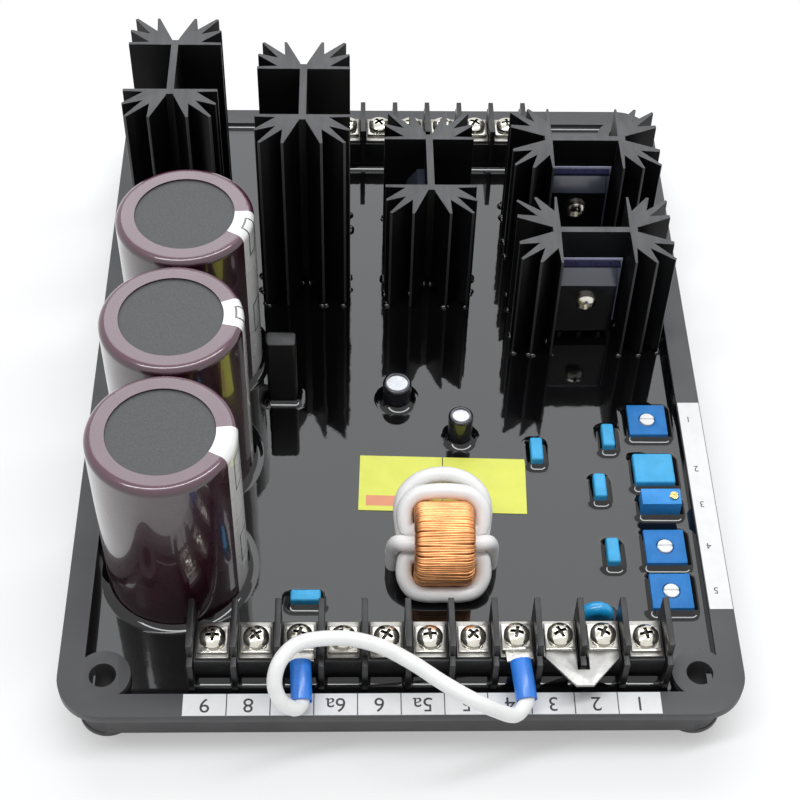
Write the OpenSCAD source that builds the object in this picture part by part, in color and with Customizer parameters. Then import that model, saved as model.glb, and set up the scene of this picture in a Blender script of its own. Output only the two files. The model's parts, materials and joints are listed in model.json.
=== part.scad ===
// Potted automatic voltage regulator: a moulded tray filled with resin, with capacitors, heat sinks,
// terminal strips, trimmers and a current transformer standing out of it.
// Millimetres, Z up, the front terminal strip towards -Y. The origin is the middle of the feet's plane.

/* [Tray] */
// Overall width of the rim
tray_w = 160; // [158:0.5:168]
// Overall depth of the rim
tray_d = 210; // [207:0.5:220]
// Height from the feet to the top of the rim
tray_h = 16; // [14:0.5:20]
// Corner radius of the rim
rim_r = 11; // [9:0.5:12]
// Thickness of the rim flange
rim_t = 2.5; // [2:0.25:4]
// Overhang of the rim past the skirt
rim_overhang = 4; // [3:0.25:4.5]
// Thickness of the skirt wall
wall_t = 2; // [1.5:0.25:2.5]
// Thickness of the floor
floor_t = 2; // [1.5:0.25:3]
// Drop of the round feet below the skirt
foot_drop = 1.5; // [0.5:0.25:2]
// Diameter of the round feet
foot_d = 14; // [12:0.5:15]
// Diameter of the corner bosses
boss_d = 13; // [11:0.5:14]
// Diameter of the mounting holes
hole_d = 6.3; // [4:0.1:7]
// Inset of the mounting holes from the left and right edges
hole_inset_x = 10.5; // [9:0.25:12]
// Inset of the mounting holes from the front and back edges
hole_inset_y = 11; // [9:0.25:12]

/* [Board and resin] */
// Depth of the resin surface below the rim
resin_drop = 2; // [1:0.25:3]
// Depth of the board's top below the rim
board_drop = 5; // [4:0.25:6]
// Thickness of the board
board_t = 1.6; // [1:0.1:2.4]
// Gap between the board and the tray wall
board_gap = 1.5; // [0.5:0.25:3]
// Diameter of the posts that carry the board
post_d = 6; // [4:0.5:9]
// Gap between a round piece and the resin cast round it
pot_gap = 0.05; // [0.02:0.01:0.15]

/* [Large capacitors] */
// Diameter over the sleeve
cap_d = 34.2; // [30:0.2:35]
// Height above the board
cap_h = 56; // [35:0.5:65]
// Thickness of the sleeve
sleeve_t = 0.5; // [0.3:0.05:0.8]
// Radius of the shoulder
cap_round = 2; // [1:0.1:3]
// Diameter of the end disc that shows inside the sleeve's lip
disc_show_d = 24.7; // [18:0.1:26]
// Thickness of the end disc
disc_t = 0.5; // [0.3:0.05:1]
// Gap between neighbouring capacitors
cap_gap = 0.3; // [0.3:0.1:1]
// Gap between the capacitors and the left wall
cap_wall_gap = 2.8; // [1:0.1:4]
// Gap between the capacitors and the front strip
cap_strip_gap = 1.6; // [0.4:0.1:2]
// Step of the rearmost capacitor to the right
cap_step = 1; // [0:0.1:2]
// Diameter of a capacitor pin
cap_pin_d = 1.6; // [1:0.1:2]
// Spread of a capacitor's two pins
cap_pin_spread = 10; // [8:0.5:14]

/* [Heat sinks] */
// Length of the extruded section along its web
sink_l = 40.3; // [38:0.1:42]
// Width of the section across its web
sink_w = 24.4; // [23.5:0.1:26]
// Thickness of the web
web_t = 1.9; // [1.2:0.1:2.6]
// Width of the channel between the two finned ends
channel_w = 18; // [17:0.1:18.4]
// Thickness of the flange that edges the channel
flange_t = 1; // [0.8:0.05:1.2]
// Thickness of a fin at its tip
fin_tip = 1.1; // [0.8:0.05:1.2]
// Half width of the solid hub where the fins start
hub_v = 6.9; // [6.5:0.1:7.4]
// Height of the two tall sinks
tall_sink_h = 62.3; // [45:0.1:75]
// Height of the three short sinks
short_sink_h = 38.6; // [36:0.1:45]
// Diameter of a sink's solder pins
sink_pin_d = 2.4; // [1.6:0.1:2.6]
// Length of pin below the board
pin_tail = 1; // [0.5:0.1:2]
// Clearance of a pin in the board
pin_clear = 0.05; // [0.02:0.01:0.15]

/* [Power devices] */
// Width of a package
device_w = 15.7; // [14:0.1:15.8]
// Height of a package
device_h = 22; // [18:0.5:23]
// Thickness of a package
device_t = 5; // [4:0.1:5.4]
// Height of the package's lower edge above the board
device_z = 6; // [3.2:0.1:7]
// Depth of the bevel along the package's top edge
device_bevel_d = 3; // [1:0.1:3.4]
// Height of the bevel along the package's top edge
device_bevel_h = 4.5; // [2:0.1:5]
// Step of a package towards one side of its channel
device_shift = 1; // [0:0.1:1.1]
// Distance of the screw below the package's top
device_screw_drop = 10; // [8.5:0.1:12]
// Diameter of the device screw
device_screw_d = 3; // [2.5:0.1:3.5]
// Diameter of the device screw's head
device_head_d = 5.2; // [4.6:0.1:6]

/* [Terminal strips] */
// Spacing of the front terminals
front_pitch = 10; // [9.4:0.1:10.2]
// Number of front terminals
front_count = 11; // [10:1:11]
// Spacing of the rear terminals
rear_pitch = 9.5; // [9.4:0.1:10.2]
// Number of rear terminals
rear_count = 6; // [4:1:7]
// Thickness of a divider
divider_t = 1.4; // [1:0.1:1.8]
// Height of a divider above the board
divider_h = 17.8; // [16:0.1:18]
// Height of a divider's low front part above the board
divider_low_h = 13.3; // [12.6:0.1:14]
// Length of a divider from front to back
divider_l = 15.6; // [15:0.1:16.4]
// Length of a divider's low front part
divider_low_l = 2.5; // [2:0.1:4]
// Height of the strip's base above the board
base_h = 11; // [10:0.1:11.5]
// Depth of the strip's base
base_d = 10.8; // [10:0.1:11.5]
// Reach of the dividers in front of the base
base_inset = 2.7; // [2:0.1:2.8]
// Gap between the front strip and the front wall
front_wall_gap = 2.1; // [1.5:0.1:3]
// Gap between the rear strip and the back wall
rear_wall_gap = 2.6; // [1:0.1:3]
// Thickness of a terminal plate
plate_t = 0.8; // [0.5:0.1:1]
// Thickness of a clamp washer
washer_t = 0.9; // [0.6:0.1:1.2]
// Side of a square clamp washer
washer_w = 7; // [6.6:0.1:7.2]
// Diameter of a terminal screw's head
screw_head_d = 6; // [5:0.1:6.4]
// Height of a terminal screw's head
screw_head_h = 2.3; // [1.8:0.1:2.8]
// Diameter of a terminal screw
screw_d = 3.4; // [3:0.1:3.6]
// Length of a terminal screw under its head
screw_l = 7.5; // [6:0.1:9]
// Clearance round a screw
screw_clear = 0.05; // [0.02:0.01:0.2]

/* [Link and jumper] */
// Width of the link plate
link_w = 17; // [15:0.1:17.4]
// Thickness of the link plate
link_t = 0.8; // [0.5:0.1:1]
// Reach of the link plate's point in front of the dividers
link_reach = 4.8; // [4:0.1:7]
// Width of the slot in the link plate
link_slot = 2.7; // [2.2:0.1:3]
// Thickness of a crimp lug's fork
lug_t = 0.8; // [0.5:0.1:1]
// Width of a crimp lug's fork
lug_w = 6.2; // [5.6:0.1:6.8]
// Diameter of a crimp lug's barrel
barrel_d = 3.8; // [3.6:0.1:4.2]
// Length of a crimp lug's barrel
barrel_l = 6; // [4:0.1:7]
// Diameter of a crimp sleeve
crimp_d = 4.9; // [4.8:0.1:5.4]
// Length of a crimp sleeve
crimp_l = 9.5; // [9:0.1:11]
// Downward tilt of the crimp barrels in degrees
crimp_tilt = 12; // [0:1:14]
// Sideways turn of the left lug in degrees
lug_turn_left = 2.5; // [0:0.5:4]
// Sideways turn of the right lug in degrees
lug_turn_right = 6.5; // [0:0.5:8]
// Diameter of the jumper wire
wire_d = 3.5; // [3:0.1:3.6]

/* [Small parts] */
// Side of a square trimmer
trimmer_w = 10; // [9:0.1:10.6]
// Height of a trimmer above the board
trimmer_h = 5; // [4.6:0.1:6]
// Diameter of a trimmer's rotor
rotor_d = 3.8; // [3:0.1:5]
// Thickness of a trimmer's rotor
rotor_t = 1; // [0.8:0.1:1.4]
// Diameter of a rotor's spindle
spindle_d = 2; // [1.5:0.1:2.4]
// Running clearance round a spindle
spindle_clear = 0.05; // [0.02:0.01:0.1]
// Gap round a rotor
rotor_gap = 0.3; // [0.2:0.05:0.4]
// Length of the multi-turn trimmer
multi_l = 9.8; // [9:0.1:10.4]
// Width of the multi-turn trimmer
multi_w = 4.8; // [4.2:0.1:5.2]
// Height of the multi-turn trimmer above the board
multi_h = 8.4; // [7:0.1:10]
// Diameter of the adjusting screw
adjust_d = 2.2; // [1.6:0.1:2.4]
// Gap between the trimmers and the right wall
trimmer_wall_gap = 3.4; // [2.5:0.1:4]
// Length of the box capacitor
box_l = 10.3; // [9:0.1:10.6]
// Width of the box capacitor
box_w = 9.4; // [8:0.1:10]
// Height of the box capacitor above the board
box_h = 5.6; // [5:0.1:8]
// Length of a film capacitor
film_l = 7.3; // [6:0.1:8]
// Width of a film capacitor
film_w = 3.2; // [2.4:0.1:4]
// Height of a film capacitor above the board
film_h = 6; // [5:0.1:8]
// Diameter of the dipped disc
dip_d = 8.6; // [7:0.1:9]
// Thickness of the dipped disc
dip_t = 3.6; // [2.6:0.1:4]
// Diameter of the wide small capacitor
small_d_1 = 7.6; // [6:0.1:8]
// Height of the wide small capacitor above the board
small_h_1 = 9.8; // [8:0.1:12]
// Diameter of the narrow small capacitor
small_d_2 = 6.4; // [5:0.1:8]
// Height of the narrow small capacitor above the board
small_h_2 = 12.2; // [9:0.1:14]
// Thickness of a small capacitor's sleeve
small_sleeve_t = 0.3; // [0.2:0.05:0.5]
// Width of the upright module
module_w = 7.7; // [6:0.1:8.4]
// Thickness of the upright module
module_t = 4.6; // [3.5:0.1:6]
// Height of the upright module above the board
module_h = 26; // [15:0.5:30]

/* [Current transformer] */
// Outer radius of the wound ring
coil_r = 10.3; // [9.6:0.1:10.5]
// Radius of the ring's hole
coil_hole_r = 5; // [4.7:0.1:5.3]
// Width of the wound ring
coil_w = 14.6; // [13:0.1:14.8]
// Thickness of the winding over the core
winding_t = 1; // [0.7:0.05:1.4]
// Rounding of the winding's edges
coil_round = 2.4; // [2:0.1:2.6]
// Depth of the ring in the resin
coil_sink = 0.7; // [0.4:0.1:0.8]
// Diameter of the primary lead
lead_d = 3.1; // [2:0.1:3.1]

/* [Labels] */
// Thickness of a label
label_t = 0.15; // [0.1:0.05:0.3]
// Width of the two rim labels
rim_label_w = 5.6; // [4:0.1:5.8]
// Length of the right rim label
side_label_l = 64.5; // [40:0.5:80]
// Length of the rating label
rating_l = 42.5; // [30:0.5:44]
// Width of the rating label
rating_w = 17.4; // [10:0.1:18]
// Turn of the rating label in degrees
rating_turn = -1.8; // [-3:0.1:3]

/* [Hidden] */
$fn = 48;
eps = 0.01;
z_resin = tray_h - resin_drop;
z_board = tray_h - board_drop;
z_floor = foot_drop + floor_t;
in_w = tray_w - 2 * (rim_overhang + wall_t);
in_d = tray_d - 2 * (rim_overhang + wall_t);
skirt_w = tray_w - 2 * rim_overhang;
skirt_d = tray_d - 2 * rim_overhang;
hole_x = tray_w / 2 - hole_inset_x;
hole_y = tray_d / 2 - hole_inset_y;
in_r = 3;
post_inset = 18;
post_x = in_w / 2 - post_inset;
post_y = [-in_d / 4, 0, in_d / 4];
shell_gap = 0.05;

// Strip frames: y is 0 at the dividers' front and grows towards the middle of the tray
front_y = -in_d / 2 + front_wall_gap;
strip_back = front_y + divider_l;
rear_y = in_d / 2 - rear_wall_gap;
front_x = -48.8;
rear_right = 39;
rear_x = rear_right - rear_count * rear_pitch;
screw_y = 7.7;
plate_edge = 0.6;
plate_y = base_inset + plate_edge;
plate_l = base_d - 2 * plate_edge;
plate_w = 7.6;
z_plate = z_board + base_h;
screw_hole_l = screw_l;
lug_left_k = 2;
lug_right_k = 7;
link_k = 8;
lug_z = z_plate + plate_t + lug_t / 2;
crimp_front_gap = 0.75;
crimp_back = base_inset - crimp_front_gap;
function front_term_x(k) = front_x + (k + 0.5) * front_pitch;
function rear_term_x(k) = rear_x + (k + 0.5) * rear_pitch;
function front_raise(k) =
    k == lug_left_k || k == lug_right_k ? lug_t : k == link_k || k == link_k + 1 ? link_t : 0;

// Capacitor places
cap_x = -in_w / 2 + cap_wall_gap + cap_d / 2;
cap_y = strip_back + cap_strip_gap + cap_d / 2;
CAPS = [for (k = [0:2]) [cap_x + (k == 2 ? cap_step : 0), cap_y + k * (cap_d + cap_gap)]];
can_r = cap_d / 2 - sleeve_t - shell_gap;
can_h = cap_h - sleeve_t - disc_t - 2 * shell_gap;

// Heat sink places: centre, turn and height. The tall ones stand between the last capacitor and
// what closes the tray behind them: the corner boss, or the rear strip.
caps_end = CAPS[2][1] + cap_d / 2;
sink_1_wall = 15.2;
sink_1_shift = -0.5;
sink_1_y = (caps_end + hole_y - boss_d / 2) / 2 + sink_1_shift;
sink_2_x = -24.5;
sink_2_shift = -6.85;
sink_2_y = (caps_end + rear_y - divider_l) / 2 + sink_2_shift;
sink_3_at = [9.3, 44.8];
sink_4_wall = 21.9;
sink_4_y = 54.6;
sink_5_wall = 22.3;
sink_5_y = 19;
SINKS = [
    [-in_w / 2 + sink_1_wall, sink_1_y, -90, tall_sink_h],
    [sink_2_x, sink_2_y, -90, tall_sink_h],
    [sink_3_at[0], sink_3_at[1], -90, short_sink_h],
    [in_w / 2 - sink_4_wall, sink_4_y, 0, short_sink_h],
    [in_w / 2 - sink_5_wall, sink_5_y, 0, short_sink_h]
];
sink_pin_out = 2.8;
sink_pin_at = [channel_w / 2 + sink_pin_out, 3.4];

// Corners of the sink's section, outwards from the channel's flank and down from the sink's side
flank_lean = 0.2;
slant_tip = 5.4;
slant_drop = 0.3;
slant_root = 4.6;
slant_step = 0.1;
side_fin_in = 0.6;
side_fin_drop = 0.8;
side_root = 5.8;
side_root_drop = 1.9;
notch_v = 4.4;
notch_edge = 0.1;
apex_u = 2.4;
hub_u = 2;
apex_v = 0.9;
z_device = z_board + device_z;
z_device_screw = z_device + device_h - device_screw_drop;
lead_pitch = 5.4;
device_lead = [1.2, 0.6];
device_head_h = 2.2;
device_screw_end = 0.8;

// Trimmer column
trimmer_x = in_w / 2 - trimmer_wall_gap - trimmer_w / 2;
trimmer_back = [63.7, 23.3, 10.2];
TRIMMERS = [for (b = trimmer_back) [trimmer_x, strip_back + b]];
rotor_proud = 0.15;
recess_t = rotor_t - rotor_proud;
spindle_l = 2.4;
slot_w = 0.7;
slot_depth = 0.5;
box_back = 47.4;
box_at = [in_w / 2 - trimmer_wall_gap - box_l / 2, strip_back + box_back];
multi_back = 36.1;
multi_at = [in_w / 2 - trimmer_wall_gap - multi_l / 2, strip_back + multi_back];
adjust_inset = 1.7;
adjust_at = [multi_at[0] + multi_l / 2 - adjust_inset, multi_at[1]];
adjust_l = 4;
adjust_proud = 0.6;

// Small parts: centre, measured back from the front strip, and turn. Three of the film capacitors
// stand beside the trimmer column.
film_beside = [[10.9, 58.1], [14.5, 41.8], [13.1, 21.8]];
film_alone = [[35.8, 53.5, 90], [-22.9, 8.8, 0]];
FILMS = concat([for (f = film_beside) [trimmer_x - f[0], strip_back + f[1], 90]],
    [for (f = film_alone) [f[0], strip_back + f[1], f[2]]]);
dip_strip_gap = 2;
dip_x = 46.8;
dip_at = [dip_x, strip_back + dip_strip_gap + dip_t / 2];
z_dip = z_resin + 1.3;
small_place = [[0.1, 72.4], [16.2, 59.4]];
SMALLS = [[small_place[0][0], strip_back + small_place[0][1], small_d_1, small_h_1],
    [small_place[1][0], strip_back + small_place[1][1], small_d_2, small_h_2]];
module_place = [-30, 73.3];
module_at = [module_place[0], strip_back + module_place[1]];
module_round = 1;
small_round = 0.5;
small_lip = 0.7;
core_round = 1;

// Current transformer: the ring's axis lies along X
coil_place = [10.3, 19];
coil_at = [coil_place[0], strip_back + coil_place[1], z_resin - coil_sink + coil_r];
core_w = coil_w - 2 * winding_t;
turn_tilt = 51;
lead_side = coil_w / 2 + lead_d / 2 + 0.4;
lead_out = coil_r + lead_d / 2 + 0.5;
near = 1.9;
INNER_TURN = [[0, near], [5, near], [lead_side - 0.8, 2.7], [lead_side + 0.1, 5.4],
    [lead_side - 0.2, 8.8], [6.7, lead_out - 0.8], [3, lead_out], [0, lead_out + 0.1]];
OUTER_TURN = [[0, 0], [5, 0], [lead_side - 0.2, 1.2], [lead_side + 1.8, 5], [lead_side + 2, 9],
    [lead_side + 0.6, 13], [6, 16.2], [0, 17.4]];
LOWER_TURN = [[0, -near], [5, -near], [lead_side - 0.6, -2.7], [lead_side + 0.7, -5.4],
    [lead_side + 0.5, -8.6], [7.6, -lead_out + 0.9], [4, -lead_out], [0, -lead_out]];
hole_step = 2.9;
tail_left = -12;
tail_right = 11.6;
tail_y = -1.8;
tail_z = 2.2;
leg_y = 0.4;

// Jumper route between the two crimp sleeves, from the dividers' front and the strip's seat
JUMPER = [
    [-24.5, -9.8, 0.5], [-27.5, -10, 4], [-29, -7.5, 8], [-27.5, -3, 10.5], [-23, 2, 9.5], [-14, 3, 9.5],
    [-6, 2, 8], [1.5, -1, 5.8], [8.5, -7, 6.8], [15, -11.5, 7], [20.5, -12.5, 4], [25, -11.5, 0.2]
];
function lug_turn(k) = k == lug_left_k ? lug_turn_left : lug_turn_right;
function lug_dir(k) =
    [sin(lug_turn(k)) * cos(crimp_tilt), -cos(lug_turn(k)) * cos(crimp_tilt), -sin(crimp_tilt)];
function lug_point(k, s) = [front_term_x(k), front_y + screw_y, lug_z]
    + (screw_y - crimp_back) * [sin(lug_turn(k)), -cos(lug_turn(k)), 0] + s * lug_dir(k);
wire_end_gap = 0.5;
wire_stops = [barrel_l + wire_end_gap, crimp_l];
JUMPER_PATH = concat(
    [for (s = wire_stops) lug_point(lug_left_k, s)],
    [for (p = JUMPER) [p[0], front_y + p[1], z_plate + p[2]]],
    [for (k = [len(wire_stops) - 1:-1:0]) lug_point(lug_right_k, wire_stops[k])]);

// Rectangle with true round corners
module round_rect(w, d, r) {
    square([w - 2 * r, d], center = true);
    square([w, d - 2 * r], center = true);
    for (x = [-1, 1], y = [-1, 1])
        translate([x * (w / 2 - r), y * (d / 2 - r)]) circle(r);
}

// Round post with a rounded top edge
module round_post(r, h, edge) {
    rotate_extrude() {
        square([r - edge, h]);
        square([r, h - edge]);
        translate([r - edge, h - edge]) intersection() {
            circle(edge);
            square(edge);
        }
    }
}

module at_holes() {
    for (x = [-1, 1], y = [-1, 1]) translate([x * hole_x, y * hole_y]) children();
}

// Sweep of a closed or open eight-sided tube along a list of points
function unit(v) = v / norm(v);
function smooth_point(a, b, c, d, t) =
    0.5 * (2 * b + (c - a) * t + (2 * a - 5 * b + 4 * c - d) * t * t + (3 * b - a - 3 * c + d) * t * t * t);
function smooth_path(p, steps) = let (n = len(p)) concat(
    [for (k = [0:n - 2], s = [0:steps - 1])
        smooth_point(p[max(k - 1, 0)], p[k], p[k + 1], p[min(k + 2, n - 1)], s / steps)], [p[n - 1]]);
function smooth_loop(p, steps) = let (n = len(p))
    [for (k = [0:n - 1], s = [0:steps - 1])
        smooth_point(p[(k + n - 1) % n], p[k], p[(k + 1) % n], p[(k + 2) % n], s / steps)];
function carried(side, dir) = unit(side - dir * (side * dir));
function side_list(dirs, first, k = 0, acc = []) = k == len(dirs) ? acc :
    let (s = carried(k == 0 ? first : acc[k - 1], dirs[k])) side_list(dirs, first, k + 1, concat(acc, [s]));
function ring_points(p, s, d, r, sides) = let (c = cross(d, s))
    [for (a = [0:sides - 1]) p + r * (cos(360 * a / sides) * s + sin(360 * a / sides) * c)];

tube_sides = 8;
module tube(path, r, first, closed = false) {
    n = len(path);
    dirs = [for (k = [0:n - 1]) closed ? unit(path[(k + 1) % n] - path[(k + n - 1) % n]) :
        unit(path[min(k + 1, n - 1)] - path[max(k - 1, 0)])];
    sides = closed ? [for (d = dirs) carried(first, d)] : side_list(dirs, first);
    points = [for (k = [0:n - 1]) each ring_points(path[k], sides[k], dirs[k], r, tube_sides)];
    walls = [for (k = [0:n - (closed ? 1 : 2)], a = [0:tube_sides - 1]) let (b = (a + 1) % tube_sides,
        lo = k * tube_sides, hi = ((k + 1) % n) * tube_sides) [lo + a, hi + a, hi + b, lo + b]];
    caps = closed ? [] : [[for (a = [0:tube_sides - 1]) a],
        [for (a = [tube_sides - 1:-1:0]) (n - 1) * tube_sides + a]];
    polyhedron(points = points, faces = concat(walls, caps), convexity = 6);
}

// Tray
module tray() {
    color([0.1, 0.1, 0.11]) difference() {
        union() {
            difference() {
                union() {
                    translate([0, 0, tray_h - rim_t]) linear_extrude(rim_t)
                        round_rect(tray_w, tray_d, rim_r);
                    translate([0, 0, foot_drop]) linear_extrude(tray_h - foot_drop - rim_t + eps)
                        round_rect(skirt_w, skirt_d, rim_r - rim_overhang);
                }
                translate([0, 0, z_floor]) linear_extrude(tray_h) round_rect(in_w, in_d, in_r);
            }
            translate([0, 0, foot_drop]) linear_extrude(tray_h - foot_drop) at_holes() circle(d = boss_d);
            linear_extrude(foot_drop + eps) at_holes() circle(d = foot_d);
            posts();
        }
        translate([0, 0, -1]) linear_extrude(tray_h + 2) at_holes() circle(d = hole_d);
    }
}

module posts() {
    for (x = [-1, 1], y = post_y)
        translate([x * post_x, y, z_floor - eps])
            cylinder(d = post_d, h = z_board - board_t - z_floor + eps);
}

// Outline of the tray's inside, clear of the corner bosses
module inside(gap) {
    difference() {
        round_rect(in_w - 2 * gap, in_d - 2 * gap, in_r);
        at_holes() circle(d = boss_d + 2 * gap + 2 * pot_gap);
    }
}

module circuit_board() {
    color([0.12, 0.35, 0.2]) translate([0, 0, z_board - board_t]) difference() {
        linear_extrude(board_t) inside(board_gap);
        translate([0, 0, -1]) linear_extrude(board_t + 2) pin_spots(pin_clear);
    }
}

// Places of the pins that pass through the board
module pin_spots(gap) {
    for (s = SINKS, u = [-1, 1])
        translate([s[0], s[1]]) rotate(s[2]) translate([u * sink_pin_at[0], sink_pin_at[1]])
            circle(d = sink_pin_d + 2 * gap);
    for (c = CAPS, u = [-1, 1])
        translate([c[0] + u * cap_pin_spread / 2, c[1]]) circle(d = cap_pin_d + 2 * gap);
}

// Outlines of everything that stands on the board
module standing() {
    for (c = CAPS) translate(c) circle(d = cap_d + 2 * pot_gap);
    for (s = SINKS) translate([s[0], s[1]]) rotate(s[2]) {
        sink_outline();
        device_leads_outline();
    }
    translate([0, front_y]) strip_outline(front_x, front_pitch, front_count);
    translate([0, rear_y]) mirror([0, 1]) strip_outline(rear_x, rear_pitch, rear_count);
    for (t = TRIMMERS) translate(t) square(trimmer_w, center = true);
    translate(box_at) square([box_l, box_w], center = true);
    translate(multi_at) square([multi_l, multi_w], center = true);
    for (f = FILMS) translate([f[0], f[1]]) rotate(f[2]) square([film_l, film_w], center = true);
    for (s = SMALLS) translate([s[0], s[1]]) circle(d = s[2] + 2 * pot_gap);
    translate(module_at) round_rect(module_w + 2 * pot_gap, module_t + 2 * pot_gap, module_round + pot_gap);
}

module potting_resin() {
    color([0.03, 0.03, 0.035]) difference() {
        union() {
            translate([0, 0, z_floor]) linear_extrude(z_board - board_t - z_floor) difference() {
                inside(0);
                for (x = [-1, 1], y = post_y) translate([x * post_x, y]) circle(d = post_d + 2 * pot_gap);
            }
            translate([0, 0, z_board - board_t]) linear_extrude(board_t) difference() {
                inside(0);
                inside(board_gap);
            }
            translate([0, 0, z_board]) linear_extrude(z_resin - z_board) difference() {
                inside(0);
                standing();
            }
        }
        translate([0, 0, z_board - board_t - pin_tail - pot_gap])
            linear_extrude(pin_tail + 2 * pot_gap) pin_spots(pot_gap);
        translate(coil_at) rotate([0, 90, 0])
            cylinder(r = coil_r + pot_gap, h = coil_w + 2 * pot_gap, center = true);
        for (x = [tail_left, tail_right]) translate([coil_at[0] + x, coil_at[1] + leg_y, z_board])
            cylinder(d = lead_d + 2 * pot_gap, h = board_drop);
        translate([dip_at[0], dip_at[1], z_dip]) rotate([90, 0, 0])
            cylinder(d = dip_d + 2 * pot_gap, h = dip_t + 2 * pot_gap, center = true);
    }
}

// Large capacitors
module capacitor_can(k) {
    color("silver") translate([CAPS[k][0], CAPS[k][1], z_board]) {
        round_post(can_r, can_h, cap_round - sleeve_t);
        for (u = [-1, 1]) translate([u * cap_pin_spread / 2, 0, -board_t - pin_tail])
            cylinder(d = cap_pin_d, h = board_t + pin_tail + eps);
    }
}

module capacitor_sleeve(k) {
    color([0.24, 0.11, 0.12]) translate([CAPS[k][0], CAPS[k][1], z_board]) difference() {
        round_post(cap_d / 2, cap_h, cap_round);
        translate([0, 0, -eps])
            round_post(cap_d / 2 - sleeve_t, cap_h - sleeve_t + eps, cap_round - sleeve_t);
        cylinder(d = disc_show_d, h = cap_h + 1);
    }
}

module capacitor_disc(k) {
    color([0.36, 0.37, 0.38]) translate([CAPS[k][0], CAPS[k][1], z_board + can_h + shell_gap])
        cylinder(r = can_r - cap_round, h = disc_t);
}

// Heat sinks: one quarter of the section, from the channel round the fins to the notch
function quarter() = let (c = channel_w / 2, l = sink_l / 2, w = sink_w / 2) [
    [c, 0], [c, w], [c + flange_t, w], [c + flange_t + flank_lean, hub_v],
    [c + slant_tip, w], [c + slant_tip + fin_tip, w - slant_drop], [c + slant_root, hub_v - slant_step],
    [l - side_fin_in, w - side_fin_drop], [l, w - side_fin_drop - fin_tip],
    [c + side_root, hub_v - side_root_drop], [l - notch_edge, notch_v + fin_tip], [l, notch_v],
    [c + apex_u, apex_v], [c + hub_u, apex_v], [c + hub_u, 0]];

module sink_outline() {
    square([channel_w + 2 * eps, web_t], center = true);
    for (m = [0, 1], n = [0, 1]) mirror([m, 0]) mirror([0, n]) polygon(quarter());
}

module heat_sink(k) {
    s = SINKS[k];
    color([0.07, 0.07, 0.075]) translate([s[0], s[1], z_board]) rotate(s[2]) {
        difference() {
            linear_extrude(s[3]) sink_outline();
            translate([-device_shift, 0, z_device_screw - z_board]) rotate([90, 0, 0])
                cylinder(d = device_screw_d + 2 * screw_clear, h = 2 * web_t, center = true);
        }
        for (u = [-1, 1]) translate([u * sink_pin_at[0], sink_pin_at[1], -board_t - pin_tail])
            cylinder(d = sink_pin_d, h = board_t + pin_tail + eps);
    }
}

// Power devices on the sinks' webs
device_face = web_t / 2;

module device_leads_outline() {
    for (x = [-1:1]) translate([x * lead_pitch - device_shift, -device_face - device_t / 2])
        square(device_lead, center = true);
}

module at_sink(k) {
    translate([SINKS[k][0], SINKS[k][1], 0]) rotate(SINKS[k][2]) children();
}

module power_device(k) {
    color([0.08, 0.08, 0.085]) at_sink(k) {
        difference() {
            translate([-device_w / 2 - device_shift, -device_face, z_device]) rotate([90, 0, 90])
                linear_extrude(device_w) polygon([[0, 0], [-device_t, 0],
                    [-device_t, device_h - device_bevel_h], [-device_t + device_bevel_d, device_h],
                    [0, device_h]]);
            translate([-device_shift, -device_face, z_device_screw]) rotate([90, 0, 0])
                cylinder(d = device_screw_d + 2 * screw_clear, h = 3 * device_t, center = true);
        }
        translate([0, 0, z_board]) linear_extrude(device_z + eps) device_leads_outline();
    }
}

// Pan head screw with a cross recess, standing on its seat at z = 0
recess_l = 3.2;
recess_w = 0.8;
recess_depth = 1.3;
module pan_screw(head_d, head_h, shank_d, shank_l) {
    dome_r = (head_d * head_d / 4 + head_h * head_h / 4) / head_h;
    difference() {
        union() {
            cylinder(d = head_d, h = head_h / 2);
            translate([0, 0, head_h / 2]) intersection() {
                translate([0, 0, head_h / 2 - dome_r]) sphere(dome_r);
                cylinder(d = head_d, h = head_h);
            }
        }
        for (a = [0, 90]) rotate(a) translate([-recess_l / 2, -recess_w / 2, head_h - recess_depth])
            cube([recess_l, recess_w, head_h]);
    }
    translate([0, 0, -shank_l]) cylinder(d = shank_d, h = shank_l + eps);
}

module device_screws() {
    color("silver") for (k = [0:len(SINKS) - 1]) at_sink(k)
        translate([-device_shift, -device_face - device_t, z_device_screw]) rotate([90, 0, 0])
            pan_screw(device_head_d, device_head_h, device_screw_d, device_t + web_t + device_screw_end);
}

// Terminal strips
module strip_base_outline(x0, pitch, count) {
    translate([x0 - divider_t / 2, base_inset]) square([count * pitch + divider_t, base_d]);
}

module strip_dividers_outline(x0, pitch, count, from) {
    for (k = [0:count])
        translate([x0 + k * pitch - divider_t / 2, from]) square([divider_t, divider_l - from]);
}

module strip_outline(x0, pitch, count) {
    strip_base_outline(x0, pitch, count);
    strip_dividers_outline(x0, pitch, count, 0);
}

module strip(x0, pitch, count) {
    difference() {
        union() {
            linear_extrude(base_h) strip_base_outline(x0, pitch, count);
            linear_extrude(divider_low_h) strip_dividers_outline(x0, pitch, count, 0);
            linear_extrude(divider_h) strip_dividers_outline(x0, pitch, count, divider_low_l);
        }
        for (k = [0:count - 1]) translate([x0 + (k + 0.5) * pitch, screw_y, base_h - screw_hole_l])
            cylinder(d = screw_d + 2 * screw_clear, h = screw_hole_l + 1);
    }
}

module front_terminal_block() {
    color([0.12, 0.12, 0.13]) translate([0, front_y, z_board]) strip(front_x, front_pitch, front_count);
}

module rear_terminal_block() {
    color([0.12, 0.12, 0.13]) translate([0, rear_y, z_board]) mirror([0, 1, 0])
        strip(rear_x, rear_pitch, rear_count);
}

// A flat plate under each terminal's washer
module terminal_plate() {
    difference() {
        translate([-plate_w / 2, plate_y, 0]) cube([plate_w, plate_l, plate_t]);
        translate([0, screw_y, -1]) cylinder(d = screw_d + 2 * screw_clear, h = plate_t + 2);
    }
}

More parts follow.
